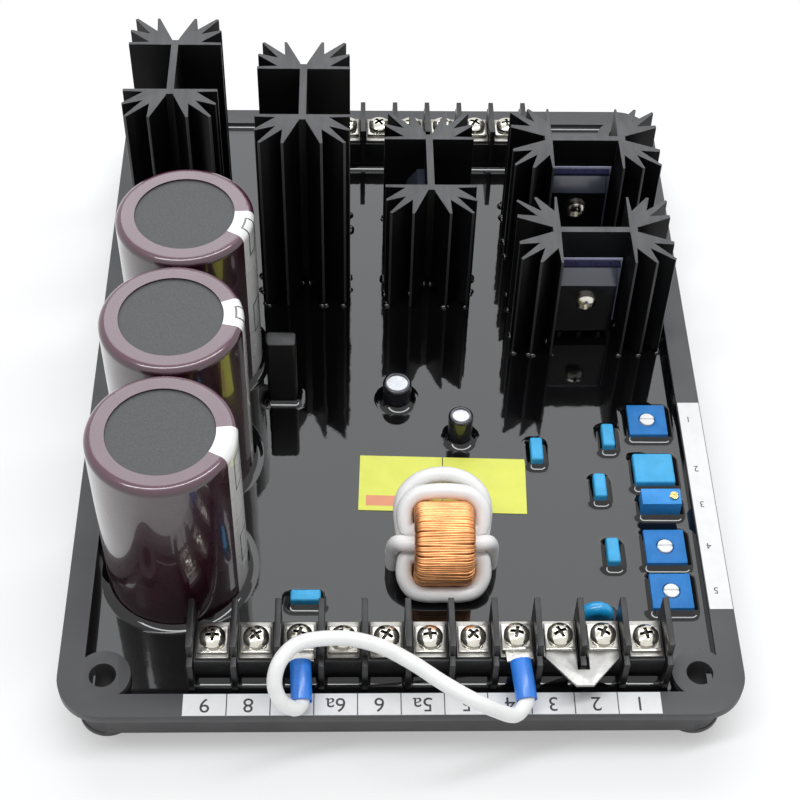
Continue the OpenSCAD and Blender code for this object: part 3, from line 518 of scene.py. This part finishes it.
class AVR_OT_stage(bpy.types.Operator):
    """Camera, floor, room light and lamps"""
    bl_idname = "avr.stage"
    bl_label = "Stage"

    def camera(self, scene, wish):
        camera = bpy.data.objects.new("camera", bpy.data.cameras.new("camera"))
        scene.collection.objects.link(camera)
        camera.data.lens = wish.lens
        camera.data.sensor_width = 36
        camera.data.clip_start = 0.01
        camera.location = wish.place
        camera.rotation_euler = (math.pi / 2 - wish.pitch, wish.roll, wish.yaw)
        scene.camera = camera

    def floor(self):
        """White paper that keeps the shadow near the part and turns pure white away from it."""
        clear_selection()
        bpy.ops.mesh.primitive_plane_add(size=6, location=(0, 0, -0.0001))
        floor = apply_place(named(active(), "floor"))
        made = Surface("floor_paper")
        made.bump(made.noise(400, 3), 0.02, 0.0001)
        paper = made.mix(made.noise(3), (0.95, 0.95, 0.95), (0.97, 0.97, 0.97))
        floor.data.materials.append(
            made.set(Base_Color=paper, Roughness=0.9, Specular_IOR_Level=0.1))
        sides = zip(made.axes(made.place), CAD_BOX[1].xy)
        off = [made.math("MAXIMUM", made.math("SUBTRACT", made.math("ABSOLUTE", axis), edge), 0.0)
               for axis, edge in sides]
        near_share, fade = 0.35, 0.09
        whiteness = made.spread(made.hypot(*off), near_share, 1, 0.0, fade)
        white = made.add("ShaderNodeEmission").outputs[0]
        made.blend(made.math("MULTIPLY", made.watched(), whiteness), made.shader.outputs[0],
                   white, "Material Output")

    def room(self, scene, wish):
        """White where it is seen or mirrored, dimmer as a source of light."""
        scene.world = bpy.data.worlds.new("studio")
        made = Nodes(scene.world)
        shown = made.tree.nodes["Background"]
        dim = made.add("ShaderNodeBackground")
        for node, strength in ((shown, 1.0), (dim, wish.fill)):
            node.inputs["Color"].default_value = (1, 1, 1, 1)
            node.inputs["Strength"].default_value = strength
        made.blend(made.watched(), dim.outputs[0], shown.outputs[0], "World Output")

    def lamps(self, scene, wish):
        aim = Vector((0, 0, 0.02))
        for name, size, power, place in (
                ("overhead_strip", (1.3, 0.12), wish.strip_power, (0.03, -0.1, 0.95)),
                ("rear_softbox", (1.3, 0.62), wish.back_power, (0.02, 0.78, 0.93))):
            lamp = bpy.data.lights.new(name, "AREA")
            lamp.shape = "RECTANGLE"
            lamp.size, lamp.size_y = size
            lamp.energy = power
            lamp.color = wish.lamp_tint
            holder = bpy.data.objects.new(name, lamp)
            holder.location = place
            way = aim - holder.location
            holder.rotation_euler = way.to_track_quat("-Z", "Y").to_euler()
            scene.collection.objects.link(holder)

    def execute(self, context):
        wish = context.scene.avr_stage
        self.camera(context.scene, wish)
        self.floor()
        self.room(context.scene, wish)
        self.lamps(context.scene, wish)
        return {"FINISHED"}


class AVR_OT_jumper(bpy.types.Operator):
    """White jumper wire between its two crimp sleeves, with the lugs and sleeves"""
    bl_idname = "avr.jumper"
    bl_label = "Jumper wire"

    def execute(self, context):
        wish, colours = context.scene.avr_sizes, context.scene.avr_colours
        # Each barrel's root and the way it points.
        barrels = ((Vector((-23.549, -94.944, 23.2)), Vector((0.0427, -0.9772, -0.2079))),
                   (Vector((26.851, -94.913, 23.2)), Vector((0.1107, -0.9719, -0.2079))))
        # Distances from the root between which the wire runs straight.
        straight = (6.5, 9.5)
        left, right = ([root + way * s for s in straight] for root, way in barrels)
        middle = Vector((0, -96.9, 22))
        free = ((-24.5, -9.8, 0.5), (-27.5, -10, 4), (-29, -7.5, 8), (-27.5, -3, 10.5),
                (-23, 2, 9.5), (-14, 3, 9.5), (-6, 2, 8), (1.5, -1, 5.8), (8.5, -7, 6.8),
                (15, -11.5, 7), (20.5, -12.5, 4), (25, -11.5, 0.2))
        stops = left + [middle + Vector(p) for p in free] + right[::-1]
        wire = tube("jumper_insulation", [through(stops, 6)], wish.wire_diameter, 6)
        white = finish("wire_white", colours.jumper, 0.42, mottle=(160, 0.04),
                       grain=(1400, 0.1, 0.00008))
        settle(wire, white, "white_insulation", "jumper_wire")
        blue = finish("sleeve_blue", colours.crimp, 0.3, coat=0.2, mottle=(300, 0.12),
                      grain=(700, 0.1, 0.0001))
        bright = nickel("lug_tin", (0.66, 0.65, 0.62), 0.25)
        for side in ("left", "right"):
            dress("crimp_sleeve_" + side, "vinyl_sleeve_" + side, blue,
                               "blue_sleeve", wish.plastic_edge, 3)
            dress("crimp_lug_" + side, "fork_lug_" + side, bright,
                               "nickel_plate", wish.metal_edge)
        return {"FINISHED"}


class AVR_OT_tray(bpy.types.Operator):
    """Moulded tray with its bosses and feet, and the hidden board"""
    bl_idname = "avr.tray"
    bl_label = "Tray"

    def execute(self, context):
        plastic = finish("tray_plastic", context.scene.avr_colours.tray, 0.46, mottle=(40, 0.08),
                         grain=(2600, 0.22, 0.00006))
        dress("tray", "tray_moulding", plastic, "moulded_tray",
              context.scene.avr_sizes.tray_edge, 3)
        paint(finish("board_laminate", (0.05, 0.16, 0.07), 0.4), "circuit_board")
        return {"FINISHED"}


class AVR_OT_resin(bpy.types.Operator):
    """Black potting resin and the rims it draws up round what stands in it"""
    bl_idname = "avr.resin"
    bl_label = "Resin"

    def gloss(self):
        made = Surface("resin_black")
        waves = made.math("MULTIPLY_ADD", made.noise(240, 3), 0.2, made.noise(55, 2, 0.4))
        made.bump(waves, 0.2, 0.00035)
        return made.set(
            Base_Color=made.patches(30, (0.0015, 0.0015, 0.0018), (0.003, 0.003, 0.0034)),
            Roughness=made.spread(made.noise(35, 4), 0.025, 0.05), Specular_IOR_Level=0.55)

    def ring(self, wish, x, y, width, depth, corner, inwards=False):
        """A rim round a rounded outline, drawn up at the outline and falling to the level."""
        rows = (0, 0.06, 0.13, 0.21, 0.3, 0.4, 0.51, 0.63, 0.76, 0.88, 1.0)
        lift, fall, least = 0.01, 2.2, 0.01
        is_circle = width <= 2 * corner
        steps, gaps = (20, 20) if is_circle else (10, 9)
        points, faces = [], []
        for share in rows:
            off = share * wish.meniscus_reach / MM * (-1 if inwards else 1)
            reach = max(corner + off, least)
            z = (RESIN_Z + lift) * MM + (1 - share) ** fall * wish.meniscus_height
            for k, (sx, sy) in enumerate(((1, 1), (-1, 1), (-1, -1), (1, -1))):
                for step in range(steps):
                    a = math.radians(90 * (k + step / gaps))
                    points.append(((x + sx * (width / 2 - corner) + reach * math.cos(a)) * MM,
                                   (y + sy * (depth / 2 - corner) + reach * math.sin(a)) * MM, z))
        count = 4 * steps
        for row in range(len(rows) - 1):
            for k in range(count):
                a, b = row * count + k, row * count + (k + 1) % count
                faces.append((a, a + count, b + count, b))
        data = bpy.data.meshes.new("rim")
        data.from_pydata(points, [], faces)
        piece = bpy.data.objects.new("rim", data)
        bpy.context.scene.collection.objects.link(piece)
        return piece

    def beads(self):
        """Small swellings where the resin has crept up the corners of the sinks' fins."""
        rng = random.Random(11)
        smallest, largest, left_out = 0.0005, 0.0014, 0.35
        drops = []
        for k in SINKS:
            data = frame["nodes"]["heat_sink_%d" % k].data
            top = max(v.co.z for v in data.vertices)
            corners = {(round(v.co.x, 5), round(v.co.y, 5)) for v in data.vertices
                       if v.co.z > top - 0.0001}
            for x, y in sorted(corners):
                size = rng.uniform(smallest, largest)
                if rng.random() < left_out:
                    continue
                clear_selection()
                bpy.ops.mesh.primitive_uv_sphere_add(
                    segments=12, ring_count=8, radius=size,
                    location=(x, y, RESIN_Z * MM - 0.1 * size), scale=(1, 1, 0.8))
                drops.append(active())
        return apply_place(smooth(joined(drops, "resin_beads"), 80))

    def outlines(self):
        """x, y, width, depth and corner radius of everything that stands in the resin."""
        corner = 0.8
        for _, x, y, _ in CAPACITORS:
            yield x, y, CAPACITOR_WIDTH, CAPACITOR_WIDTH, CAPACITOR_WIDTH / 2
        for x, y, width in ((0.1, -8.9, 7.6), (16.2, -21.9, 6.4)):
            yield x, y, width, width, width / 2
        boxes = [(65.6, y, 10, 10) for y in TRIMMERS_Y]
        boxes += [(65.45, BOX_Y, 10.3, 9.4), (65.7, MULTITURN_Y, 9.8, 4.8), (-30, -8, 7.7, 4.6),
                  (-22.9, -72.5, 7.3, 3.2), (46.8, -77.5, 8.2, 3.4), (*RING_CENTRE[:2], 15, 13)]
        boxes += [(x, y, 3.2, 7.3) for x, y in ((35.8, -27.8), (54.7, -23.2), (51.1, -39.5),
                                                (52.5, -59.5))]
        for x, y, width, depth in boxes:
            yield x, y, width, depth, min(corner, depth / 4)
        low, high = (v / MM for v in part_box("rear_terminal_block"))
        yield ((low.x + high.x) / 2, (low.y + high.y) / 2, high.x - low.x, high.y - low.y, corner)
        for k in range(FRONT_TERMINALS):
            yield -43.8 + FRONT_PITCH * k, -87.75, 8.4, 12.9, corner

    def execute(self, context):
        wish = context.scene.avr_sizes
        resin = self.gloss()
        paint(resin, "potting_resin")
        rings = [self.ring(wish, *outline) for outline in self.outlines()]
        rings.append(self.ring(wish, 0, 0, 148, 198, 3, inwards=True))
        piece = smooth(joined(rings, "resin_rims"), 60)
        edit(piece)
        bpy.ops.mesh.normals_make_consistent(inside=False)
        leave()
        settle(piece, resin, "potting_resin")
        settle(self.beads(), resin, "potting_resin")
        return {"FINISHED"}


class AVR_OT_capacitors(bpy.types.Operator):
    """Large capacitors: printed shrink sleeves, end discs and cans"""
    bl_idname = "avr.capacitors"
    bl_label = "Large capacitors"

    def sleeve(self, number, x, y, heading):
        """Shrink film with a white stripe, two outlined marks on the stripe and a painted sheen on
        its top.
        """
        made = Surface("sleeve_film_%d" % number)
        axes = made.axes(made.place)
        dx, dy = (made.math("SUBTRACT", axis, at * MM) for axis, at in zip(axes, (x, y)))
        angle = made.math("ARCTAN2", dy, dx)
        off = made.math("ABSOLUTE", made.math("SUBTRACT", angle, math.radians(heading)))
        stripe = made.math("LESS_THAN", off, math.radians(16.5))
        # The way up the wall and on over the folded rim.
        low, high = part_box("capacitor_sleeve_%d" % number)
        along = made.math("SUBTRACT", made.math("ADD", axes[2], (high.x - low.x) / 2),
                          made.hypot(dx, dy))
        shift = 0 if number == 1 else 0.0056
        marks = []
        for start, end in ((0.0522, 0.0635), (0.0243, 0.0348)):
            away = made.math("ABSOLUTE",
                             made.math("SUBTRACT", along, (start + end) / 2 + shift))
            outer, inner = (
                made.math("MULTIPLY", made.math("LESS_THAN", off, math.radians(width)),
                          made.math("LESS_THAN", away, (end - start) / 2 - inset))
                for width, inset in ((7.6, 0), (5.9, 0.0006)))
            marks.append(made.math("SUBTRACT", outer, inner))
        wall = made.patches(120, (0.024, 0.0045, 0.01), (0.034, 0.007, 0.015))
        # Faces that look up get a lighter maroon than the wall: a painted sheen for the light the
        # folded top rim catches.
        film = made.mix(made.upward(0.3, 0.9), wall, (0.085, 0.022, 0.045))
        white = made.mix(made.noise(220, 3), (0.76, 0.76, 0.75), (0.84, 0.84, 0.83))
        printed = made.mix(made.math("MAXIMUM", *marks), white, (0.05, 0.05, 0.05))
        made.bump(made.noise(70, 3, 0.5, (1, 1, 0.35)), 0.12, 0.0004)
        return made.set(
            Base_Color=made.mix(stripe, film, printed),
            Roughness=made.spread(made.noise(90, 3), 0.2, 0.32),
            Coat_Weight=1.0, Coat_Roughness=0.03, Specular_IOR_Level=0.6)

    def execute(self, context):
        disc = finish("disc_grey", (0.066, 0.068, 0.071), 0.55, mottle=(2600, 0.22),
                      grain=(3200, 0.4, 0.0001))
        can = finish("can_aluminium", (0.75, 0.76, 0.78), 0.35, metal=1.0)
        for number, x, y, heading in CAPACITORS:
            paint(self.sleeve(number, x, y, heading), "capacitor_sleeve_%d" % number)
            paint(disc, "capacitor_disc_%d" % number)
            paint(can, "capacitor_can_%d" % number)
        return {"FINISHED"}


class AVR_OT_sinks(bpy.types.Operator):
    """Black anodised heat sinks, with a painted highlight on their tops and fin edges"""
    bl_idname = "avr.sinks"
    bl_label = "Heat sinks"

    def walls(self, piece, widest):
        """Upright faces narrower than the given width, with the middle of their corners."""
        for face in piece.data.polygons:
            spots = [piece.data.vertices[v].co for v in face.vertices]
            middle = sum(spots, Vector()) / len(spots)
            reach = max((a - b).xy.length for a in spots for b in spots)
            if abs(face.normal.z) < 0.3 and reach < widest:
                yield face, middle

    def taper(self, piece):
        """Draws the blunt ends of the fins together."""
        widest_end, sideways, share = 0.0017, 0.97, 0.4
        moves = {}
        for face, middle in self.walls(piece, widest_end):
            if abs(face.normal.x) < sideways:
                moves.update({v: middle for v in face.vertices})
        for v, middle in moves.items():
            spot = piece.data.vertices[v].co
            spot.xy = spot.xy.lerp(middle.xy, share)

    def mark(self, piece):
        """Marks the fins' ends and rounded edges, which get a painted highlight colour and more
        gloss.
        """
        widest_edge = 0.0012
        edge_highlight = piece.data.attributes.new("edge_highlight", "FLOAT", "FACE")
        for face, _ in self.walls(piece, widest_edge):
            edge_highlight.data[face.index].value = 1.0
        return piece

    def anodised(self):
        made = Surface("anodised_black")
        edge_highlight = made.attribute("edge_highlight")
        # Tops get a lighter grey than the black walls: a painted highlight for the light falling
        # from above.
        lit_tops = made.upward(0.75, 0.95)
        top = made.patches(500, (0.042, 0.042, 0.045), (0.07, 0.07, 0.075), 0.6, (1, 0.15, 1))
        side = made.patches(140, (0.0012, 0.0012, 0.0014), (0.0022, 0.0022, 0.0025))
        # Fin ends and rounded edges get a lighter grey: a painted highlight for the light their
        # rounding catches.
        side = made.mix(edge_highlight, side, (0.03, 0.03, 0.033))
        made.bump(made.noise(900, 2, 0.5, (1, 1, 0.05)), 0.18, 0.00008)
        bright = made.math("MAXIMUM", lit_tops, edge_highlight)
        return made.set(
            Base_Color=made.mix(lit_tops, side, top),
            Roughness=made.spread(made.noise(60, 3), 0.4, 0.52),
            Specular_IOR_Level=made.spread(bright, 0.16, 0.5, 0, 1))

    def execute(self, context):
        black = self.anodised()
        for k in SINKS:
            node = "heat_sink_%d" % k
            sink = softened(node, "fin_profile_%d" % k, context.scene.avr_sizes.metal_edge,
                            shape=self.taper)
            settle(self.mark(sink), black, "black_anodised", node)
        return {"FINISHED"}


class AVR_OT_devices(bpy.types.Operator):
    """Power devices screwed to the sinks"""
    bl_idname = "avr.devices"
    bl_label = "Power devices"

    def execute(self, context):
        made = Surface("device_epoxy")
        made.bump(made.noise(2200), 0.2, 0.00006)
        # Tops get a lighter bluish grey than the black sides: a painted sheen.
        epoxy = made.set(
            Base_Color=made.mix(made.upward(0.3, 0.6), (0.004, 0.004, 0.005), (0.05, 0.056, 0.08)),
            Roughness=made.spread(made.noise(460, 3), 0.17, 0.23), Specular_IOR_Level=0.95)
        for k in SINKS:
            dress("power_device_%d" % k, "epoxy_package_%d" % k, epoxy, "device_package",
                  context.scene.avr_sizes.device_edge, 3)
        lavender = finish("pad_lavender", context.scene.avr_colours.pad, 0.45, mottle=(200, 0.08))
        # A thin tab on top behind each package, coloured navy as painted shade and reflection: the
        # dark band next to the pad.
        navy = finish("tab_navy", (0.02, 0.02, 0.055), 0.3, mottle=(300, 0.1))
        for k, x, y in ((4, 52.1, 54.6), (5, 51.7, 19.0)):
            pad = block("insulating_pad_%d" % k, (x - 8.7, y - 1.2, 16.2), (x + 8.2, y - 0.95, 40.1))
            settle(pad, lavender, "device_package")
            tab = block("device_tab_%d" % k, (x - 8.1, y - 3.3, 38.7), (x + 7.6, y - 1.25, 39.5))
            settle(tab, navy, "device_package")
        paint(nickel("device_screw_zinc"), "device_screws")
        return {"FINISHED"}


class AVR_OT_terminals(bpy.types.Operator):
    """Both terminal strips: barriers, plates, washers and screws"""
    bl_idname = "avr.terminals"
    bl_label = "Terminal strips"

    def recesses(self, piece, node, count):
        """Marks the walls and floors of the screws' cross recesses, which get painted shade."""
        recess_radius, recess_floor, steep = 0.00175, 0.0256, 0.5
        low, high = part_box(node)
        half = (high.y - low.y) / 2
        pitch = (high.x - low.x - 2 * half) / (count - 1)
        recess_shade = piece.data.attributes.new("recess_shade", "FLOAT", "FACE")
        for face in piece.data.polygons:
            along = (face.center.x - low.x - half) % pitch
            off = math.hypot(min(along, pitch - along), face.center.y - low.y - half)
            is_sunk = abs(face.normal.z) < steep or face.center.z < recess_floor
            if off < recess_radius and is_sunk:
                recess_shade.data[face.index].value = 1.0
        return piece

    def execute(self, context):
        wish = context.scene.avr_sizes
        plastic = finish("strip_black", (0.005, 0.005, 0.006), 0.38, mottle=(120, 0.12),
                         grain=(2400, 0.16, 0.00006))
        # Plates and washers are one nickel plating. The plates are darker as a painted reflection of
        # the black resin; the washers are lighter as a painted highlight.
        plate = nickel("plate_nickel_shaded", (0.28, 0.272, 0.255), 0.32)
        washer = nickel("washer_nickel_lit", (0.45, 0.435, 0.4), 0.22)
        # The screws' recesses get a dark brown: painted shade where light can't reach.
        screw = nickel("screw_nickel", (0.72, 0.69, 0.61), 0.15, 0.06,
                       ("recess_shade", (0.07, 0.065, 0.055)))
        for side, count in (("front", FRONT_TERMINALS), ("rear", REAR_TERMINALS)):
            dress(side + "_terminal_block", side + "_barriers", plastic, "strip_plastic",
                  wish.plastic_edge)
            dress(side + "_terminal_plates", side + "_plates", plate, "nickel_plate",
                  wish.metal_edge)
            dress(side + "_clamp_washers", side + "_washers", washer, "nickel_plate",
                  wish.metal_edge * 1.5)
            node = side + "_terminal_screws"
            screws = softened(node, side + "_screws", wish.metal_edge)
            settle(self.recesses(screws, node, count), screw, "plated_steel", node)
        tin = nickel("link_tin", (0.33, 0.325, 0.315), 0.42)
        dress("terminal_link", "link_plate", tin, "nickel_plate", wish.metal_edge)
        return {"FINISHED"}


class AVR_OT_trimmers(bpy.types.Operator):
    """Square trimmers with their rotors, and the multi-turn trimmer"""
    bl_idname = "avr.trimmers"
    bl_label = "Trimmers"

    def execute(self, context):
        wish, colours = context.scene.avr_sizes, context.scene.avr_colours
        moulded = {"mottle": (260, 0.1), "grain": (1600, 0.12, 0.00006)}
        blue = finish("case_blue", colours.trimmer, 0.4, specular=0.2, **moulded)
        white = finish("rotor_white", (0.84, 0.84, 0.83), 0.4, mottle=(500, 0.05))
        for k in range(1, len(TRIMMERS_Y) + 1):
            dress("trimmer_body_%d" % k, "trimmer_case_%d" % k, blue, "blue_case",
                  wish.plastic_edge)
            dress("trimmer_rotor_%d" % k, "slotted_rotor_%d" % k, white, "white_rotor",
                  wish.metal_edge, body="rotor_%d" % k)
        pale = finish("multiturn_blue", colours.multiturn, 0.36, specular=0.3, **moulded)
        dress("multiturn_body", "multiturn_case", pale, "blue_case", wish.plastic_edge * 1.6, 3)
        brass = finish("screw_brass", (0.78, 0.6, 0.28), 0.25, metal=1.0, mottle=(800, 0.1))
        dress("multiturn_screw", "adjusting_screw", brass, "brass_screw", wish.metal_edge,
              body="adjuster")
        return {"FINISHED"}


class AVR_OT_small_parts(bpy.types.Operator):
    """Film, box, dipped and small electrolytic capacitors, and the upright module"""
    bl_idname = "avr.small_parts"
    bl_label = "Small parts"

    def execute(self, context):
        wish, colours = context.scene.avr_sizes, context.scene.avr_colours
        pale = finish("film_blue", colours.film_case, 0.34, mottle=(300, 0.1),
                      grain=(900, 0.1, 0.00008), specular=0.3)
        dress("film_capacitors", "film_cases", pale, "light_blue_case", wish.film_edge, 4)
        dress("box_capacitor", "box_case", pale, "light_blue_case", wish.film_edge, 4)
        dip = finish("dip_blue", colours.dip, 0.2, coat=0.4, mottle=(200, 0.12),
                     grain=(500, 0.1, 0.0001))
        paint(dip, "dipped_disc")
        black = finish("module_black", (0.006, 0.006, 0.007), 0.35, mottle=(150, 0.2))
        dress("upright_module", "module_case", black, "black_case", wish.plastic_edge * 1.6, 3)
        film = finish("small_sleeve_film", (0.008, 0.009, 0.016), 0.25, coat=0.5,
                      mottle=(200, 0.2))
        can = finish("small_can", (0.4, 0.41, 0.43), 0.36, metal=1.0, mottle=(500, 0.08),
                     grain=(900, 0.15, 0.00006))
        for k in (1, 2):
            paint(film, "small_capacitor_sleeve_%d" % k)
            paint(can, "small_capacitor_can_%d" % k)
        return {"FINISHED"}


class AVR_OT_transformer(bpy.types.Operator):
    """Current transformer: turns of copper round the ring and the white primary lead"""
    bl_idname = "avr.transformer"
    bl_label = "Current transformer"

    def winding(self, wish):
        """Closed turns round the ring's section, each a little out of line."""
        rng = random.Random(5)
        wire = wish.turn_diameter / MM
        half, low, high, bend = 7.3 - wire / 2, 5.0 + wire / 2, 10.3 - wire / 2, 2.0
        section = []
        for cx, cr, start in ((half - bend, high - bend, 0), (-half + bend, high - bend, 90),
                              (-half + bend, low + bend, 180), (half - bend, low + bend, 270)):
            for turn in (0, 22.5, 45, 67.5, 90):
                a = math.radians(start + turn)
                section.append((cx + bend * math.cos(a), cr + bend * math.sin(a)))
        x0, y0, z0 = RING_CENTRE
        runs = []
        for k in range(wish.turns):
            around = 2 * math.pi * k / wish.turns
            lean, swell = rng.uniform(-0.03, 0.03), rng.uniform(-0.12, 0.0)
            run = []
            for x, r in section:
                a = around + lean * x / half
                out = r + swell * (r > (low + high) / 2)
                run.append((x0 + x, y0 + out * math.cos(a), z0 + out * math.sin(a)))
            runs.append(run)
        return meshed(tube("copper_turns", runs, wish.turn_diameter, 2, cyclic=True))

    def lead(self, wish):
        """Three loops through the ring on a tilted plane, and one through lead."""
        side, out, near, tilt = 9.35, 12.35, 2.76, math.radians(51)
        # Half of each loop: across, along the tilted plane and off the plane.
        inner = ((0, near, 0), (5, near, 0), (side - 0.8, 3.3, 0), (side + 0.1, 5.6, 0),
                 (side - 0.2, 8.8, 0), (6.7, out - 0.8, 0), (3, out, 0), (0, out + 0.1, 0))
        outer = ((0, 0, -2.9), (5, 0, -2.9), (side - 0.4, 1.2, -3.4), (side + 0.6, 4.8, -4.05),
                 (side + 0.7, 8.8, -4.05), (side - 0.6, 12.4, -4.05), (5.2, 15.3, -4.05),
                 (0, 16.4, -4.05))
        lower = ((0, -near, 0), (5, -near, 0), (side - 0.6, -3.3, 0), (side + 0.2, -5.6, 0),
                 (side, -8.6, 0), (7.4, -out + 0.9, 0), (4, -out, 0), (0, -out, 0))
        x0, y0, z0 = RING_CENTRE
        runs = []
        for half in (inner, outer, lower):
            loop = list(half) + [(-x, p, step) for x, p, step in half[-2:0:-1]]
            points = [(x0 + x, y0 + p * math.sin(tilt) - step * math.cos(tilt),
                       z0 + p * math.cos(tilt) + step * math.sin(tilt)) for x, p, step in loop]
            runs.append(through(points, 5, closed=True))
        loops = meshed(tube("lead_loops", runs, wish.lead_diameter, 5, cyclic=True))
        tail = ((-12, 0.4, -12.4), (-12, 0.4, -6.2), (-12, 0.4, -3), (-11.2, -0.6, 0.8),
                (-8.4, -1.85, 2.26), (0, -1.85, 2.26), (8, -1.85, 2.26), (10.8, -0.6, 0.8),
                (11.6, 0.4, -3), (11.6, 0.4, -6.2), (11.6, 0.4, -12.4))
        points = [(x0 + x, y0 + y, z0 + z) for x, y, z in tail]
        tails = meshed(tube("lead_tails", [through(points, 5)], wish.lead_diameter, 5))
        return joined([loops, tails], "primary_lead")

    def execute(self, context):
        wish, colours = context.scene.avr_sizes, context.scene.avr_colours
        copper = finish("copper_enamel", colours.copper, 0.42, metal=1.0, coat=0.2,
                        mottle=(260, 0.22), grain=(700, 0.1, 0.00006))
        settle(self.winding(wish), copper, "enamelled_copper", "transformer_winding")
        white = finish("lead_white", colours.lead, 0.38, mottle=(160, 0.04),
                       grain=(1400, 0.1, 0.00008))
        settle(self.lead(wish), white, "white_insulation", "transformer_lead")
        paint(finish("core_iron", (0.2, 0.2, 0.21), 0.6), "transformer_core")
        return {"FINISHED"}


class AVR_OT_labels(bpy.types.Operator):
    """Paper labels with plain cells, numbers and colour fields"""
    bl_idname = "avr.labels"
    bl_label = "Labels"

    def terminal_marks(self):
        """Rules between the cells of the front label and a number in each cell."""
        first, half_rule, front, back = -50.5, 0.12, -104.8, -99.2
        for k in range(1, FRONT_TERMINALS):
            x = first + FRONT_PITCH * k
            yield block("cell", (x - half_rule, front, RIM_LABEL_Z),
                        (x + half_rule, back, RIM_LABEL_Z + PRINT_THICKNESS))
        numbers = ("9", "8", "7", "6a", "6", "5a", "5", "4", "3", "2", "1")
        for k, text in enumerate(numbers):
            yield lettering(text, 5.2, -45.5 + FRONT_PITCH * k, -102)

    def rating_print(self, name, low, high):
        """A printed field on the rating label, which lies a little askew."""
        field = block(name, (*low, RATING_LABEL_Z), (*high, RATING_LABEL_Z + PRINT_THICKNESS))
        field.rotation_euler = (0, 0, math.radians(-1.8))
        field.location = (0.0113, -0.0374, 0)
        return apply_place(field)

    def execute(self, context):
        colours = context.scene.avr_colours
        grain = (2500, 0.08, 0.00004)
        paper = finish("label_paper", colours.rim_label, 0.5, mottle=(300, 0.03), grain=grain)
        paint(paper, "terminal_label", "adjustment_label")
        yellow = finish("label_yellow", colours.rating_label, 0.45, mottle=(200, 0.04), grain=grain)
        paint(yellow, "rating_label")
        ink = finish("label_ink", (0.025, 0.025, 0.028), 0.5, mottle=(900, 0.2))
        settle(joined(list(self.terminal_marks()), "terminal_numbers"), ink, "label_white")
        rows = (TRIMMERS_Y[0], BOX_Y, MULTITURN_Y, *TRIMMERS_Y[1:])
        marks = [lettering(str(k), 2.6, 76.4, y) for k, y in enumerate(rows, 1)]
        settle(joined(marks, "adjuster_numbers"), ink, "label_white")
        orange = finish("label_orange", colours.rating_field, 0.5, mottle=(300, 0.05))
        settle(self.rating_print("rating_rule", (-0.12, -8.7), (0.12, 8.7)), ink, "label_yellow")
        settle(self.rating_print("rating_field", (-19.4, -7.2), (-12, -4)), orange, "label_yellow")
        return {"FINISHED"}


STEPS = (AVR_OT_stage, AVR_OT_jumper, AVR_OT_tray, AVR_OT_resin, AVR_OT_capacitors, AVR_OT_sinks,
         AVR_OT_devices, AVR_OT_terminals, AVR_OT_trimmers, AVR_OT_small_parts,
         AVR_OT_transformer, AVR_OT_labels)


class AVR_PT_panel(bpy.types.Panel):
    """Steps that finish the regulator"""
    bl_idname = "AVR_PT_panel"
    bl_label = "Voltage regulator"
    bl_space_type = "VIEW_3D"
    bl_region_type = "UI"
    bl_category = "Regulator"

    def draw(self, context):
        scene = context.scene
        for group in (scene.avr_stage, scene.avr_sizes, scene.avr_colours):
            for key in group.bl_rna.properties.keys():
                if key not in {"rna_type", "name"}:
                    self.layout.prop(group, key)
        for step in STEPS:
            self.layout.operator(step.bl_idname)


CLASSES = (RegulatorSizes, RegulatorColours, RegulatorStage, *STEPS, AVR_PT_panel)


def register():
    for cls in CLASSES:
        bpy.utils.register_class(cls)
    bpy.types.Scene.avr_sizes = bpy.props.PointerProperty(type=RegulatorSizes)
    bpy.types.Scene.avr_colours = bpy.props.PointerProperty(type=RegulatorColours)
    bpy.types.Scene.avr_stage = bpy.props.PointerProperty(type=RegulatorStage)


def unregister():
    del bpy.types.Scene.avr_stage
    del bpy.types.Scene.avr_colours
    del bpy.types.Scene.avr_sizes
    for cls in reversed(CLASSES):
        bpy.utils.unregister_class(cls)


def main():
    register()
    bpy.ops.avr.stage()
    bpy.ops.avr.jumper()
    bpy.ops.avr.tray()
    bpy.ops.avr.resin()
    bpy.ops.avr.capacitors()
    bpy.ops.avr.sinks()
    bpy.ops.avr.devices()
    bpy.ops.avr.terminals()
    bpy.ops.avr.trimmers()
    bpy.ops.avr.small_parts()
    bpy.ops.avr.transformer()
    bpy.ops.avr.labels()
    bpy.context.scene.view_settings.view_transform = "Standard"


if __name__ == "__main__":
    main()
